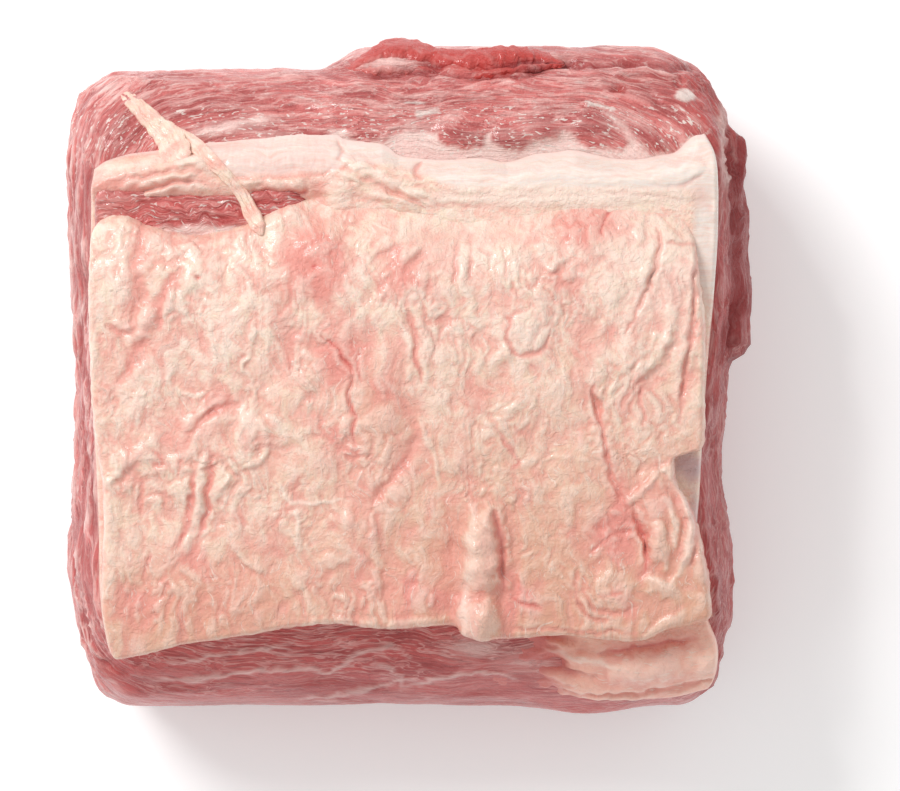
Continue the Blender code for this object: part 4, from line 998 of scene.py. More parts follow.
def shape_seam(points, cells):
    """The places and the tints of the lower fat, with the white strap along its back."""
    u, v, w = points.T
    v = np.interp(v, [0, 0.30, 0.52, 1], [0, 0.16, 0.66, 1])
    share, plan = laid(u, v, w, SEAM_OUTLINE, SEAM_EDGE, *SEAM_FORM)
    x, y = plan.T
    px, py = seen_at(on_meat(x, y, strap_height(x, y)))
    carving = Carving(plan, px, py)
    carving.all(SEAM_STROKES, SEAM_SPOTS)
    swirled = warped(plan, 1.2, 8.0, 45)
    front = ramp(600, 640, py)
    feather = ramp(518, 596, px + 22 * grain(plan, (9, 4), 50, 3))
    white_until = np.interp(px, *in_rows(STRAP_WHITE_EDGE).T)
    white = ramp(4, -4, py - white_until + 3 * grain(plan, 5, 47)) * (1 - front)
    white = np.maximum(white, ramp(690, 700, px) * ramp(330, 270, py))
    loose = hill(px, 140, 80, 4) + hill(px, 380, 60, 4)
    height = 0.25 * grain(plan, (12, 6), 44, 2) + 0.11 * grain(swirled, (18, 1.1), 43, 2) * white
    height += 0.11 * grain(swirled, (1.0, 6), 46, 2) * white * ramp(350, 330, px)
    height += 0.30 * (lobes(swirled, (8, 3.5), 48) - 0.5) * np.clip(loose, 0, 1) * (1 - white)
    height += 0.4 * grain(swirled, (18, 9), 42, 2) * front
    height += 0.05 * grain(plan, (1.5, 1.2), 49, 2)
    height += carving.height * (0.8 + 0.3 * front)
    hollow_shade = hollows(height, cells, 2, 7)
    surface = strap_height(x, y)
    surface = surface * (1 - front) + (surface * feather - 0.3 * (1 - feather)) * front
    cover = np.clip(surface / 2.0, 0, 1)
    top = surface + height * cover * np.clip(share * 1.3 - 0.2, 0, 1)
    offset = -0.6 + (top + 0.6) * (0.25 + 0.75 * share) * w
    tints = carving.tints
    tints["strap"] = white
    tints["film"] = ramp(0.7, 0.1, cover) * 0.8 * (1 - 0.7 * front)
    tints["dark"] = np.maximum(tints["dark"], 0.85 * ramp(1.0, 0.2, feather) * front)
    # Painted shade: the front of the lower fat turns a deeper peach.
    tints["amber_and_shade"] = 0.85 * front
    pinkness = 0.2 * front * ramp(-0.1, 0.5, grain(swirled, (12, 5), 41, 2))
    tints["wash"] += pinkness + 0.24 * ramp(360, 320, px)
    # Pink painted shade in the hollows, partly the fat's own pink, and a pale painted highlight on the
    # crests.
    tints["hollow_shade"] = hollow_shade * 1.6
    tints["crest_highlight"] = -hollow_shade * 1.6
    return on_meat(x, y, offset), tints, swirled[:, ::-1]


# The wavy border between the red meat and the pale film above the strap, and the lower border of the
# strap's white, in pixels
FILM_EDGE = [
    330, 127, 345, 131, 352, 140, 383, 143, 392, 134, 405, 132, 436, 133, 441, 142, 450, 147, 470, 149,
    482, 146, 487, 130, 490, 132, 494, 146, 507, 151, 520, 150, 530, 142, 545, 141, 556, 138, 562, 130,
    570, 132, 578, 140, 590, 147, 612, 149, 628, 146, 634, 139, 640, 148, 655, 153, 672, 153, 680, 146,
    688, 136,
]
STRAP_WHITE_EDGE = [60, 150, 200, 158, 232, 176, 334, 172, 350, 158, 400, 166, 460, 188, 560, 187, 706, 190]


def shape_blade(points, cells):
    """The places and the tints of the thin muscle between the strap and the cap."""
    u, v, w = points.T
    share, plan = laid(u, v, w, BLADE_OUTLINE, BLADE_TOP, *BLADE_FORM)
    x, y = plan.T
    px, py = seen_at(on_meat(x, y, BLADE_TOP))
    swirled = warped(plan, 1.6, 5.0, 55)
    height = 0.35 * wrinkles(swirled, (16, 3.0), 51) + 0.14 * grain(swirled, (6.0, 1.1), 52, 2)
    height += 0.5 * grain(plan, (11, 5), 53, 2)
    hollow_shade = hollows(height, cells, 2, 6)
    offset = BLADE_BASE + (BLADE_TOP - BLADE_BASE + height) * (0.2 + 0.8 * share) * w
    lower_edge = ramp(9, 2, 232 - py + 4 * grain(plan, 4, 57)) * ramp(145, 165, px)
    # Painted shade in the hollows and a painted highlight of film on the crests; painted light makes the
    # meat lighter towards the left end.
    tints = {
        "deep": 0.15 + hollow_shade,
        "lit_side": 0.5 + 0.5 * ramp(140, 108, px),
        "film": np.clip(-hollow_shade, 0, 1) * 0.4 + lower_edge + 0.15 * ramp(140, 108, px),
        "bright": 0.3 + ramp(150, 110, px) * 0.3,
        "painted_glint": np.full(len(x), 0.8),
    }
    return on_meat(x, y, offset), tints, swirled


def section_lines(t, stops, shares):
    """Lines of a divided edge at real places, closer together where the shares are large."""
    return np.interp(t, np.concatenate([[0], np.cumsum(shares) / np.sum(shares)]), stops)


def rounded_section(y, z):
    """Moves points on the border of the section's rectangle onto its rounded corners."""
    upper = z > CORE_Z
    radius = np.where(upper, np.where(y > CORE_Y, BACK_RADIUS, FRONT_RADIUS), FOOT_RADIUS)
    hub_y = np.clip(y, FRONT_Y + radius, BACK_Y - radius)
    hub_z = np.clip(z, radius, MEAT_TOP - radius)
    reach = np.maximum(np.hypot(y - hub_y, z - hub_z), 1e-9)
    return hub_y + (y - hub_y) / reach * radius, hub_z + (z - hub_z) / reach * radius


def block_of_meat(x, y, z):
    """Moves the points of a box onto the block of meat, without its relief."""
    reach_y = np.where(y > CORE_Y, BACK_Y - CORE_Y, CORE_Y - FRONT_Y)
    reach_z = np.where(z > CORE_Z, MEAT_TOP - CORE_Z, CORE_Z)
    share = np.maximum(np.abs(y - CORE_Y) / reach_y, np.abs(z - CORE_Z) / reach_z)
    share = np.maximum(share, 1e-6)
    border_y, border_z = rounded_section(CORE_Y + (y - CORE_Y) / share, CORE_Z + (z - CORE_Z) / share)
    spoke = np.hypot(border_y - CORE_Y, border_z - CORE_Z)
    upright = ramp(0.7, 1.0, np.abs(y - CORE_Y) / share / reach_y)
    radius = RIM_RADIUS + UPRIGHT_EXTRA_RADIUS * upright
    from_end = HALF_LENGTH - np.abs(x)
    from_border = (1 - share) * spoke
    a = np.clip(radius - from_end, 0, None)
    b = np.clip(radius - from_border, 0, None)
    size = np.maximum(np.hypot(a, b), 1e-9)
    in_rim = (a > 0) & (b > 0)
    from_end = np.where(in_rim, radius * (1 - a / size), from_end)
    from_border = np.where(in_rim, radius * (1 - b / size), from_border)
    scale = (spoke - from_border) / spoke
    y = CORE_Y + (border_y - CORE_Y) * scale
    z = CORE_Z + (border_z - CORE_Z) * scale
    along = (np.sign(x) * (HALF_LENGTH - from_end) / HALF_LENGTH + 1) / 2
    x = left_face(y, z) * (1 - along) + right_face(y, z) * along
    outward = (y - BACK_Y + BACK_RADIUS) / BACK_RADIUS
    y = y + np.where(outward > 0, CHINE_TIER * chine_tier(x) * outward, 0)
    z = z * (1 + TOP_TILT * y / MEAT_TOP) - TOP_CROWN * (x / HALF_LENGTH) ** 2 * (z / MEAT_TOP)
    return np.stack([x, y, z], -1)


def shape_meat(obj):
    """Moves the box onto the block of meat and carves its bundles, creases and seams."""
    a, b, c = points_of(obj).T
    end = HALF_LENGTH
    x = section_lines(a, [-end, -end + 8, end - 8, end], [0.06, 0.88, 0.06])
    stops = [FRONT_Y, FRONT_Y + FRONT_RADIUS, 52, BACK_Y - BACK_RADIUS, BACK_Y]
    y = section_lines(b, stops, [36, 50, 6, 44])
    z = section_lines(c, [0, FOOT_RADIUS, MEAT_TOP - FRONT_RADIUS, MEAT_TOP], [10, 26, 36])
    places = block_of_meat(x, y, z)
    set_points(obj, places)
    outward = outward_of(obj)
    px, py = seen_at(places)
    carving = Carving(places, px, py)
    carving.all(MEAT_STROKES, MEAT_SPOTS)
    seen = ramp(0.0, 0.25, outward[:, 2])
    x, y, z = places.T
    bare_back = ramp(60, 66, y)
    bare_front = 1 - ramp(-80, -74, y)
    draped = ramp(28, 36, x) * ramp(46, 54, z) * (y < 0)
    bare = np.clip(bare_back + bare_front * (1 - draped), 0, 1)
    ends = ramp(0.5, 0.8, np.abs(outward[:, 0]))

    ring = (np.abs(x / 95) ** 6 + np.abs(y / 91) ** 6) ** (1 / 6) * 93
    turned = (np.arctan2(y, x) + 0.9 + math.pi) % math.tau - math.pi
    along = np.abs(turned) * 92
    fibres = np.stack([along, ring, 0.5 * z], -1)
    swirled = warped(places, 2.0, 9.0, 68)
    bent = warped(warped(fibres, 2.2, (30, 16, 16), 66), 0.6, (9, 5, 5), 61)
    film_line = np.interp(px, *in_rows(FILM_EDGE).T)
    filmy = ramp(-2, 2.5, py - film_line + 5 * grain(places, 3.0, 69, 2))
    filmy *= ramp(322, 340, px) * ramp(704, 690, px) * (y > 0)
    height = carving.height * seen - 0.5 * filmy
    height += bare * 0.9 * grain(places, (34, 12, 12), 62, 2)
    height += 2.2 * bare_front * hill(x, 52, 14)
    threads = 0.36 * wrinkles(bent, (22, 3.6, 3.6), 63) + 0.24 * grain(bent, (9, 1.5, 1.5), 67, 2)
    stringy = np.maximum(bare, ends) * (1 - 0.65 * bare_front * (1 - ends))
    height += stringy * (threads * (1 + 1.5 * ends) + 0.16 * grain(swirled, 2.6, 65, 2))
    height += ends * 0.9 * grain(places, (12, 30, 10), 64, 2)
    height *= ramp(1.0, 5, z)
    places = places + outward * height[:, None]
    places[:, 2] = np.where(places[:, 2] < 0.3, 0, places[:, 2])
    set_points(obj, places)
    tints = {name: values * seen for name, values in carving.tints.items()}
    tints["deep"] *= 1 - filmy
    tints["film"] = np.maximum(tints["film"] * (1 - tints["deep"]), filmy)
    patchy = np.clip(0.7 + 1.1 * grain(places, (30, 9, 9), 72, 2), 0, 1)
    tints["skin"] = bare_front * patchy * ramp(30, 50, z) * (1 - 0.5 * ramp(500, 560, px))
    # Painted light: the meat is lighter on the back and on faces turned to the left, where the light falls,
    # but not on the right face.
    tints["lit_side"] = np.maximum(ramp(40, 66, y), 0.6 * ramp(-0.3, -0.7, outward[:, 0]))
    # The right face, turned away from the light.
    right = ramp(0.3, 0.8, outward[:, 0])
    tints["lit_side"] *= 1 - right
    stray = 22 * grain(places, (20, 20, 14), 70, 3)
    rib = ramp(0, 16, y + stray) * ramp(78, 60, y + stray)
    rib *= ramp(84, 89, x + 0.2 * stray) * ramp(4, 34, z + stray)
    # Painted shade in the valleys between the threads and a painted highlight on their crests.
    valley_shade, crest_highlight = ramp(0.18, 0.02, threads), ramp(0.24, 0.42, threads)
    ropy = ramp(0.2, 0.7, -outward[:, 0]) * (0.4 + 0.6 * ramp(24, 60, z)) + 0.5 * bare_back * (1 - ends)
    # Darker towards the bottom of the walls.
    low = 0.35 * ramp(50, 20, z) + 0.08 * bare_front * (1 - patchy)
    # Painted shade on the right face and in the valleys between the threads; the rib meat's own dark red.
    tints["deep"] = np.maximum.reduce([tints["deep"], 0.5 * right, rib, 0.55 * valley_shade * ropy, low])
    # A painted highlight of film on the crests of the threads.
    tints["film"] = np.maximum(tints["film"], 0.6 * crest_highlight * ropy * (1 - tints["deep"]))
    # Painted glints: white flecks on the meat above the strap and along the back, not on the right face.
    glinting = ramp(100, 116, py) * ramp(160, 150, py) * (y > 0) + 0.3 * bare_back
    tints["painted_glint"] = glinting * seen * (1 - right)
    set_tints(obj, tints)
    set_fibre(obj, *bent.T)


# Pixels along each strand's middle, with its half width in pixels and its offset in millimetres
STRAND_PATHS = {
    "flat strand": [
        118, 92, 4.5, 0.5, 128, 98, 7, 0.6, 139, 107, 8.5, 0.7, 148, 117, 10, 0.9, 157, 127, 11.5, 1.3,
        167, 137, 14, 2.2, 174, 147, 16, 4.0, 179, 157, 15, 6.4, 184, 166, 10, 7.6,
    ],
    "raised strand": [
        170, 124, 3, 0.6, 182, 136, 6, 2.4, 196, 147, 7, 5.0, 208, 157, 7, 7.6, 220, 168, 7, 8.9,
        231, 179, 6.5, 8.9, 240, 190, 6.5, 8.4, 248, 202, 7, 8.4, 254, 214, 8.5, 9.8, 259, 224, 8, 11.4,
        264, 235, 5, 12.2,
    ],
}


def shape_strand(points, nodes):
    """Lays a slab along a path: its long side follows the path and it bulges across it."""
    u, v, w = points.T
    path = smooth_path(in_rows(nodes, 4), 8)
    stations = np.linspace(0, 1, len(path))
    px, py, half, offset = (np.interp(u, stations, path[:, i]) for i in range(4))
    ahead = np.stack([np.interp(u, stations, np.gradient(path[:, i])) for i in range(2)], -1)
    ahead /= np.hypot(*ahead.T)[:, None]
    side = 2 * v - 1
    ends = np.sqrt(np.clip(np.minimum(u, 1 - u) / 0.08, 0, 1))
    rough = 1 + 0.25 * grain(np.stack([u * 90, np.sign(side)], -1), (12, 1), 81, 2)
    reach = side * half * ends * rough
    plan = place_of(np.stack([px - ahead[:, 1] * reach, py + ahead[:, 0] * reach], -1), STRAND_EDGE)
    x, y = plan.T
    dome = np.clip(1 - side**4, 0.0004, 1) ** 0.7
    flat = np.stack([u * 70, side * half * PIXEL_MM], -1)
    lines = 0.4 * wrinkles(warped(flat, 0.7, 9, 83), (30, 1.6), 82) + 0.25 * grain(flat, 8, 84)
    top = offset - 0.6 + (0.4 + lines) * dome * ends
    pinkness = 0.5 * ramp(-0.3, 0.4, grain(flat, 7, 85))
    # A pale painted highlight on the raised lines and pink painted shade between them.
    tints = {"crest_highlight": lines - 0.2, "hollow_shade": 0.35 - lines, "wash": pinkness}
    return on_meat(x, y, STRAND_BASE + (top - STRAND_BASE) * w), tints, flat[:, ::-1]


def shape_flap(points, cells):
    """The bright red lip of the second muscle, torn loose along the back."""
    u, v, w = points.T
    share, plan = laid(u, v, w, FLAP_OUTLINE, FLAP_EDGE, *FLAP_FORM)
    plan = warped(plan, 0.7, 3.0, 91)
    x, y = plan.T
    swirled = warped(plan, 1.2, 5.0, 92)
    taper = ramp(0.0, 0.3, u) * ramp(1.0, 0.72, u)
    height = 0.5 * grain(swirled, (16, 4), 93) + 0.25 * grain(swirled, (7, 1.8), 94, 2)
    crease = hill(v - 0.26 - 0.06 * np.sin(u * 9), 0, 0.12) * ramp(0.05, 0.15, u)
    height -= 1.8 * crease
    hollow_shade = hollows(height, cells, 2, 5) + 1.2 * crease
    lift = (0.8 + 2.0 * ramp(0.1, 0.7, v) + 0.6 * np.sin(u * 9)) * taper
    offset = FLAP_BASE + (lift - FLAP_BASE + height * (0.3 + 0.7 * taper)) * (0.2 + 0.8 * share) * w
    px, py = seen_at(on_meat(x, y, FLAP_EDGE))
    # Painted shade in the pits under the lip.
    pit_shade = mound(px, py, (436, 66), (16, 6)) + mound(px, py, (540, 64), (24, 5))
    pit_shade += mound(px, py, (404, 64), (16, 3))
    flecks = 0.12 * ramp(0.1, 0.5, grain(swirled, (4, 1.5), 95, 2))
    # Painted shade: darker red in the hollows, the crease and the pits.
    tints = {
        "bright": 1 - 0.5 * hollow_shade - 1.2 * pit_shade,
        "deep": hollow_shade + 1.2 * pit_shade,
        "film": mound(px, py, (388, 62), (24, 5)) * 0.5 + flecks,
    }
    return on_meat(x, y, offset), tints, swirled


def set_inputs(node, values):
    """Sets inputs of a shader node by their names."""
    for name, value in values.items():
        node.inputs[name].default_value = value


class Value:
    """A socket of a shader, with the arithmetic that the finishes use."""

    def __init__(self, finish, socket):
        self.finish, self.socket = finish, socket

    def math(self, operation, *others):
        return self.finish.node("ShaderNodeMath", {"operation": operation}, [self, *others])

    def __add__(self, other):
        return self.math("ADD", other)

    def __sub__(self, other):
        return self.math("SUBTRACT", other)

    def __mul__(self, other):
        return self.math("MULTIPLY", other)

    def __rsub__(self, other):
        return (self * -1.0) + other

    __radd__, __rmul__ = __add__, __mul__

    def step(self, low, high):
        """0 below low and 1 above high, with a soft step between them."""
        return self.finish.node(
            "ShaderNodeMapRange", {"interpolation_type": "SMOOTHSTEP"}, [self, low, high, 0.0, 1.0]
        )


class Finish:
    """A material whose nodes are written as expressions."""

    def __init__(self, name, roughness, subsurface, radius, specular, coat):
        self.material = bpy.data.materials.new(name)
        self.material.use_nodes = True
        self.tree = self.material.node_tree
        self.shader = self.tree.nodes["Principled BSDF"]
        set_inputs(self.shader, {
            "Roughness": roughness,
            "Subsurface Weight": subsurface,
            "Subsurface Radius": radius,
            "Subsurface Scale": 0.002,
            "Specular IOR Level": specular,
            "Coat Weight": coat,
            "Coat Roughness": 0.09,
            "Coat IOR": 1.4,
        })
        self.place = self.node("ShaderNodeTexCoord", output="Object")
        self.fibre = self.attribute("fibre", "Vector")

    def node(self, kind, settings=(), inputs=(), output=0):
        """Adds a node, sets it, fills or links its sockets, and returns one of its outputs."""
        made = self.tree.nodes.new(kind)
        for name, value in dict(settings).items():
            setattr(made, name, value)
        pairs = inputs.items() if isinstance(inputs, dict) else enumerate(inputs)
        for key, value in pairs:
            if isinstance(value, Value):
                self.tree.links.new(value.socket, made.inputs[key])
            else:
                made.inputs[key].default_value = value
        return Value(self, made.outputs[output])

    def attribute(self, name, output):
        return self.node("ShaderNodeAttribute", {"attribute_name": name}, output=output)

    def masks(self, *names):
        """The tints that the points carry, by name."""
        return {name: self.attribute(name, "Fac") for name in names}

    def noise(self, source, sizes, detail=3.0, roughness=0.55, distortion=0.0):
        """Noise with lumps of the given sizes along the source's axes: place in metres, fibre in mm."""
        place = self.node("ShaderNodeMapping", {}, {"Vector": source, "Scale": tuple(1 / s for s in sizes)})
        values = {"Scale": 1.0, "Detail": detail, "Roughness": roughness, "Distortion": distortion}
        return self.node("ShaderNodeTexNoise", {}, {"Vector": place, **values})

    def seams(self, sizes, width):
        """Thin lines that run along the fibres."""
        line = (self.noise(self.fibre, sizes, 2, 0.5, 0.4) - 0.5).math("ABSOLUTE")
        return 1.0 - line.step(0.0, width)

    def mix(self, share, first, second):
        """A colour between two colours."""
        first, second = (end if isinstance(end, Value) else (*end, 1.0) for end in (first, second))
        return self.node("ShaderNodeMix", {"data_type": "RGBA"}, {0: share, 6: first, 7: second}, 2)

    def coat_with(self, base, layers):
        """Paints layers, each a share and a colour, over a colour, and feeds it to the shader."""
        for share, colour in layers:
            base = self.mix(share, base, colour)
        self.feed("Base Color", base)

    def feed(self, name, value):
        self.tree.links.new(value.socket, self.shader.inputs[name])

    def relief(self, height, distance):
        values = {"Strength": 1.0, "Distance": distance, "Height": height}
        self.feed("Normal", self.node("ShaderNodeBump", {}, values, "Normal"))


def fat_finish(name, colours, amber_and_shade):
    """Cream fat with pink in its creases, partly painted shade, painted highlights on its crests, faint
    mottling and the white of the strap.
    """
    fat = Finish(name, 0.42, 0.06, (1.0, 0.45, 0.3), 0.5, 0.4)
    masks = fat.masks("wash", "blush_and_shade", "hollow_shade", "crest_highlight", "pale", "strap", "film", "dark", "amber_and_shade", "skin")
    mottle = fat.noise(fat.place, (0.0045,) * 3, 5, 0.65, 1.2).step(0.42, 0.60)
    cream = fat.noise(fat.place, (0.008,) * 3, 5, 0.65, 1.0).step(0.46, 0.60)
    streak = fat.noise(fat.fibre, (0.9, 5.0, 5.0), 4, 0.6, 0.4).step(0.45, 0.68)
    hair = fat.seams((1.9, 6.0, 6.0), 0.02) * cream
    wisp_and_glint = fat.noise(fat.fibre, (0.5, 3.6, 3.6), 3, 0.6, 0.6).step(0.59, 0.68)
    fine = fat.noise(fat.place, (0.0011,) * 3, 4, 0.65)
    across = fat.noise(fat.fibre, (0.5, 6.0, 6.0), 3, 0.6, 0.2)
    layers = [
        (cream * 0.7, colours.cap_ivory),
        # Painted shade: amber towards the front.
        (masks["amber_and_shade"], amber_and_shade),
        (streak * (0.45 - 0.3 * masks["amber_and_shade"]), colours.cap_pale),
        (hair * 0.3, colours.cap_pink),
        (masks["strap"], fat.mix(across.step(0.4, 0.65), colours.strap_white, colours.strap_cream)),
        (masks["wash"] * (0.7 + 0.6 * fine), colours.cap_pink),
        # Pink painted shade in the hollows, partly the fat's own pink, and a pale painted highlight on the
        # crests.
        (masks["hollow_shade"] * 0.4, colours.cap_pink),
        (masks["crest_highlight"] * 0.3, colours.cap_pale),
        # The red of the creases, with painted shade in them.
        (masks["blush_and_shade"] * 0.8, colours.cap_pink),
        (masks["blush_and_shade"].step(0.6, 1.0) * 0.8, colours.cap_red),
        # The fat's own pale, with painted light on the pleat's lit side and over the top of the cap.
        (masks["pale"] * 0.7, colours.cap_pale),
        # Thin pale wisps, partly painted glints.
        (wisp_and_glint * 0.5, colours.cap_pale),
        (masks["film"], colours.film),
        (masks["skin"] * 0.9, colours.silver),
        (masks["dark"], colours.meat_red),
    ]
    fat.coat_with(fat.mix(mottle, colours.cap_cream, colours.cap_rose), layers)
    fat.feed("Roughness", 0.30 + 0.25 * fine)
    worked = 1.0 - 0.7 * masks["strap"]
    lumps = fat.noise(fat.place, (0.0030,) * 3, 3, 0.6, 0.8)
    fat.relief((0.45 * fine + 0.8 * lumps + 0.08 * wisp_and_glint) * worked + 0.12 * across, 0.0008)
    return fat.material


def meat_finish(name, colours):
    """Raw muscle with fibres, thin white lines, silver skin and wet highlights, with painted glints,
    painted light on its lit faces and painted shade in its creases.
    """
    meat = Finish(name, 0.4, 0.03, (1.0, 0.25, 0.2), 0.4, 0.4)
    masks = meat.masks("deep", "film", "white", "bright", "skin", "lit_side", "painted_glint")
    # Painted glints: short white flecks along the fibres.
    painted_glint = meat.noise(meat.fibre, (2.2, 0.6, 0.6), 2, 0.5, 0.5).step(0.60, 0.67)
    fine = meat.noise(meat.fibre, (8.0, 0.55, 0.55), 3, 0.6, 0.3)
    threads = meat.noise(meat.fibre, (15.0, 1.2, 1.2), 3, 0.6, 0.4)
    bundle = meat.noise(meat.fibre, (30.0, 5.0, 5.0), 3)
    speck = meat.noise(meat.place, (0.0009,) * 3, 2)
    dark = meat.seams((16.0, 2.2, 2.2), 0.03)
    light = meat.seams((18.0, 1.3, 1.3), 0.045)
    open_meat = 1.0 - 0.8 * masks["skin"]
    layers = [
        (bundle.step(0.58, 0.36) * 0.5, colours.meat_deep),
        # Pale on the raised threads: the fibres' own pale and a painted highlight.
        (threads.step(0.50, 0.66) * 0.55 * open_meat, colours.meat_pale),
        (fine.step(0.50, 0.34) * 0.55, colours.meat_deep),
        (dark * 0.35, colours.meat_deep),
        (light * 0.6 * open_meat, colours.meat_pale),
        (masks["deep"] * 0.9, colours.meat_deep),
        (masks["bright"] * 0.9, colours.meat_bright),
        (masks["skin"] * bundle.step(0.3, 0.7) * 0.5, colours.skin),
        (masks["film"] * (0.5 + 0.7 * threads), colours.film),
        ((masks["white"] + 0.7 * threads - 0.35).step(0.25, 0.9) * 0.8, colours.strap_white),
        # Painted glints in white.
        (painted_glint * masks["painted_glint"] * 0.8, colours.strap_white),
    ]
    # Painted light: the meat is lighter on the faces turned to the light.
    meat.coat_with(meat.mix(masks["lit_side"], colours.meat_red, colours.meat_lit), layers)
    meat.feed("Coat Weight", 0.45 - 0.35 * masks["deep"])
    meat.feed("Roughness", 0.28 + 0.3 * speck)
    meat.relief(threads + 0.5 * fine + 0.4 * speck, 0.0009)
    return meat.material


def shade(name, description, default):
    return FloatVectorProperty(
        name=name, description=description, default=default, size=3, subtype="COLOR", min=0, max=1
    )


def level(name, description, default, least=0, unit="NONE"):
    return FloatProperty(name=name, description=description, default=default, min=least, unit=unit)


class RoastColours(PropertyGroup):
    """The colours of the roast's meat and fat."""

    cap_cream: shade("Cap Cream", "Main colour of the fat cap", (0.93, 0.70, 0.58))
    cap_rose: shade("Cap Rose", "Rosier patches of the fat cap", (0.91, 0.52, 0.42))
    cap_ivory: shade("Cap Ivory", "Yellower patches of the fat cap", (0.90, 0.72, 0.55))
    # Painted shade: the darker amber that the cap turns to towards the front, where it slopes away from the
    # light.
    cap_amber_shade: shade("Cap Warm", "Amber fat towards the front", (0.74, 0.39, 0.26))
    # Also the painted highlight on crests, on the pleat's lit side and over the top of the cap.
    cap_pale: shade("Cap Pale", "Pale streaks of the fat cap", (0.97, 0.79, 0.68))
    # Also painted shade: the deeper peach that the lower fat turns to at the front.
    front_peach: shade("Front Peach", "Peach fat of the front right corner", (1.0, 0.54, 0.40))
    # Also the pink painted shade in the hollows and creases.
    cap_pink: shade("Cap Pink", "Pink of creases and thin fat", (0.80, 0.30, 0.245))
    cap_red: shade("Cap Red", "Red of the deepest creases", (0.66, 0.12, 0.10))
    # Also the white of the painted glints on the meat.
    strap_white: shade("Strap White", "Colour of the white strap", (0.84, 0.74, 0.675))
    strap_cream: shade("Strap Cream", "Cream lines in the strap", (0.84, 0.67, 0.58))
    meat_red: shade("Meat Red", "Main colour of the meat", (0.61, 0.105, 0.097))
    # Painted light: the lighter red of the faces turned to the light.
    meat_lit: shade("Meat Rose", "Lighter meat at the back and the left", (0.69, 0.18, 0.165))
    # Also painted shade in creases, grooves, pits, thread valleys and on the right face.
    meat_deep: shade("Meat Deep", "Darker bundles of the meat", (0.29, 0.03, 0.03))
    meat_bright: shade("Meat Bright", "Bright red of the loose flaps", (0.53, 0.045, 0.035))
    # Also a painted highlight on the raised threads.
    meat_pale: shade("Meat Pale", "Pale fibres of the meat", (0.84, 0.46, 0.42))
    # Also a painted highlight on the crests of the threads.
    film: shade("Film", "Thin silvery film and lines", (0.92, 0.67, 0.61))
    skin: shade("Skin", "Purplish silver skin at the front", (0.56, 0.18, 0.17))
    silver: shade("Silver", "Silvery skin that shows in the notch of the cap", (0.62, 0.43, 0.44))


class RoastLight(PropertyGroup):
    """The floor and the lights."""

    key_power: level("Key Power", "Power of the soft light", 15.0, unit="POWER")
    key_size: level("Key Size", "Width of the soft light", 0.6, 0.01, "LENGTH")
    glint_power: level("Glint Power", "Power of the small light", 1.8, unit="POWER")
    glint_size: level("Glint Size", "Width of the small light", 0.1, 0.01, "LENGTH")
    world_strength: level("World Strength", "Light from all round", 0.68)
    floor_size: level("Floor Size", "Side of the floor", 6.0, 1, "LENGTH")
    floor_glow: level("Floor Glow", "Light that the floor gives off", 0.16)


def dress(obj, material, node=None):
    """Gives a piece its material and its body, and hides the node of the frame that it replaces."""
    obj.data.materials.clear()
    obj.data.materials.append(material)
    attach(obj, "root")
    if node:
        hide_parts(node)


def built(name, cells, maker):
    """A slab whose points, tints and fibre places come from a function."""
    obj = slab(name, *cells)
    places, tints, fibre = maker(points_of(obj), cells[0])
    set_points(obj, places)
    set_tints(obj, tints)
    set_fibre(obj, fibre[:, 0], fibre[:, 1], places[:, 2])
    return obj


class ROAST_OT_meat(Operator):
    """Model the block of meat"""

    bl_idname = "roast.meat"
    bl_label = "Meat"

    def execute(self, context):
        obj = divided_box("roast_meat", MEAT_CELLS)
        shape_meat(obj)
        dress(obj, meat_finish("muscle", context.scene.roast_colours), "meat")
        return {"FINISHED"}


class ROAST_OT_seam_fat(Operator):
    """Model the lower fat and the white strap"""

    bl_idname = "roast.seam_fat"
    bl_label = "Lower Fat"

    def execute(self, context):
        obj = built("roast_seam_fat", SEAM_CELLS, shape_seam)
        colours = context.scene.roast_colours
        dress(obj, fat_finish("strap_fat", colours, colours.front_peach), "seam_fat")
        return {"FINISHED"}


class ROAST_OT_blade_meat(Operator):
    """Model the thin muscle between the strap and the cap"""

    bl_idname = "roast.blade_meat"
    bl_label = "Blade Meat"

    def execute(self, context):
        obj = built("roast_blade_meat", BLADE_CELLS, shape_blade)
        dress(obj, meat_finish("blade_muscle", context.scene.roast_colours), "blade_meat")
        return {"FINISHED"}


class ROAST_OT_fat_cap(Operator):
    """Model the upper fat with its folds and creases"""

    bl_idname = "roast.fat_cap"
    bl_label = "Fat Cap"

    def execute(self, context):
        obj = built("roast_fat_cap", CAP_CELLS, shape_cap)
        colours = context.scene.roast_colours
        dress(obj, fat_finish("cap_fat", colours, colours.cap_amber_shade), "fat_cap")
        return {"FINISHED"}


class ROAST_OT_strands(Operator):
    """Model the two strands of fat that cross the meat and the strap at the back left"""

    bl_idname = "roast.strands"
    bl_label = "Strands"

    def execute(self, context):
        colours = context.scene.roast_colours
        for index, nodes in enumerate(STRAND_PATHS.values()):
            name = f"roast_strand_{index + 1}"
            obj = built(name, STRAND_CELLS, lambda points, cells: shape_strand(points, nodes))
            dress(obj, fat_finish(f"strand_fat_{index + 1}", colours, colours.cap_amber_shade))
        return {"FINISHED"}


class ROAST_OT_chine_flap(Operator):
    """Model the loose red lip of meat along the back"""

    bl_idname = "roast.chine_flap"
    bl_label = "Loose Lip"

    def execute(self, context):
        obj = built("roast_chine_flap", FLAP_CELLS, shape_flap)
        dress(obj, meat_finish("loose_muscle", context.scene.roast_colours))
        return {"FINISHED"}


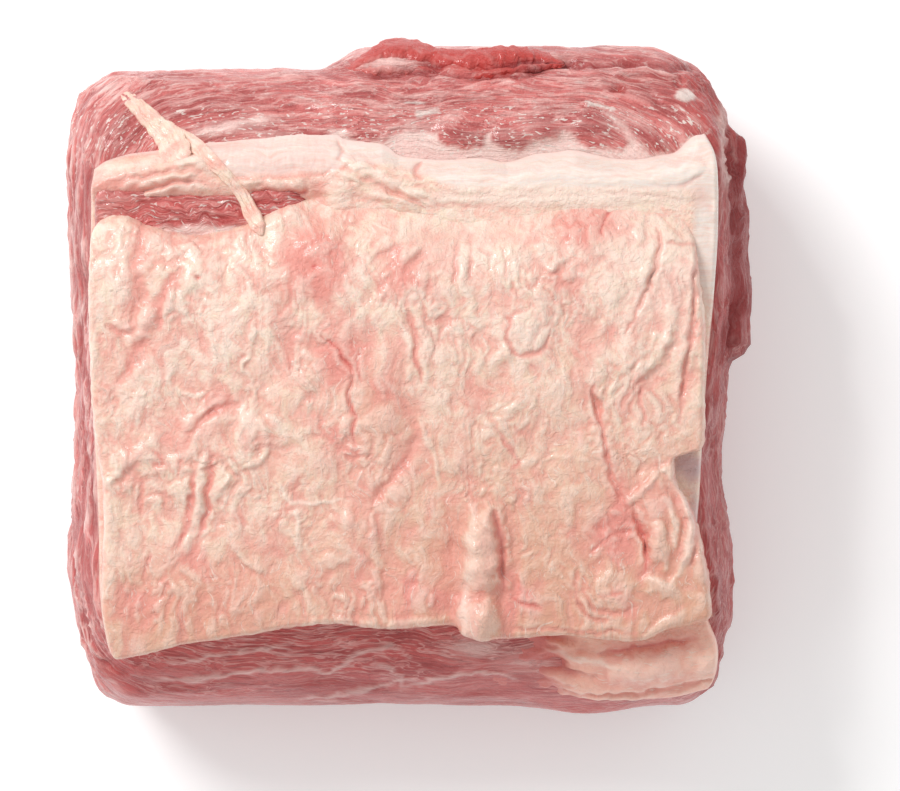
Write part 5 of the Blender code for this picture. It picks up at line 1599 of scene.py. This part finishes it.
class ROAST_OT_stage(Operator):
    """Add the floor, the lights and the camera"""

    bl_idname = "roast.stage"
    bl_label = "Stage"

    def execute(self, context):
        scene = context.scene
        light = scene.roast_light
        deselect()
        bpy.ops.mesh.primitive_plane_add(size=light.floor_size, location=(0, 0, FLOOR_Z))
        floor = context.object
        floor.name = "floor"
        paper = bpy.data.materials.new("floor_paper")
        paper.use_nodes = True
        set_inputs(paper.node_tree.nodes["Principled BSDF"], {
            "Base Color": (0.97, 0.97, 0.97, 1),
            "Roughness": 0.9,
            "Specular IOR Level": 0.1,
            "Emission Strength": light.floor_glow,
        })
        floor.data.materials.append(paper)

        for name, place, size, power in (
            ("key_light", (-0.85, 0.85, 1.25), light.key_size, light.key_power),
            ("glint_light", (-0.55, 0.95, 1.1), light.glint_size, light.glint_power),
        ):
            bpy.ops.object.light_add(type="AREA", location=place)
            lamp = context.object
            lamp.name = name
            lamp.data.shape = "DISK"
            lamp.data.size, lamp.data.energy = size, power
            aim = Vector(LIGHT_TARGET) - lamp.location
            lamp.rotation_euler = aim.to_track_quat("-Z", "Y").to_euler()

        world = bpy.data.worlds.new("studio")
        world.use_nodes = True
        white = (1.0, 1.0, 1.0, 1)
        set_inputs(world.node_tree.nodes["Background"], {"Color": white, "Strength": light.world_strength})
        scene.world = world

        camera = bpy.data.cameras.new("camera")
        camera.sensor_width = SENSOR_MM
        camera.lens = SENSOR_MM * EYE_DISTANCE / (PHOTO_WIDTH * PIXEL_MM)
        eye = bpy.data.objects.new("camera", camera)
        eye.location = (EYE_X * MM, EYE_Y * MM, (EYE_DISTANCE + SHARP_HEIGHT) * MM)
        scene.collection.objects.link(eye)
        scene.camera = eye
        scene.view_settings.view_transform = "Standard"
        return {"FINISHED"}


class ROAST_PT_panel(Panel):
    """The pieces of the roast"""

    bl_label = "Ribeye Roast"
    bl_idname = "ROAST_PT_panel"
    bl_space_type = "VIEW_3D"
    bl_region_type = "UI"
    bl_category = "Roast"

    def draw(self, context):
        column = self.layout.column()
        for operator in OPERATORS:
            column.operator(operator.bl_idname)
        for group in (context.scene.roast_colours, context.scene.roast_light):
            for name in group.__annotations__:
                column.prop(group, name)


OPERATORS = (
    ROAST_OT_stage, ROAST_OT_meat, ROAST_OT_seam_fat, ROAST_OT_blade_meat, ROAST_OT_fat_cap,
    ROAST_OT_strands, ROAST_OT_chine_flap,
)
CLASSES = (RoastColours, RoastLight, *OPERATORS, ROAST_PT_panel)


def register():
    for item in CLASSES:
        bpy.utils.register_class(item)
    bpy.types.Scene.roast_colours = PointerProperty(type=RoastColours)
    bpy.types.Scene.roast_light = PointerProperty(type=RoastLight)


def unregister():
    del bpy.types.Scene.roast_light
    del bpy.types.Scene.roast_colours
    for item in reversed(CLASSES):
        bpy.utils.unregister_class(item)


def main():
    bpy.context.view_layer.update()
    register()
    bpy.ops.roast.stage()
    bpy.ops.roast.meat()
    bpy.ops.roast.seam_fat()
    bpy.ops.roast.blade_meat()
    bpy.ops.roast.fat_cap()
    bpy.ops.roast.strands()
    bpy.ops.roast.chine_flap()


if __name__ == "__main__":
    main()
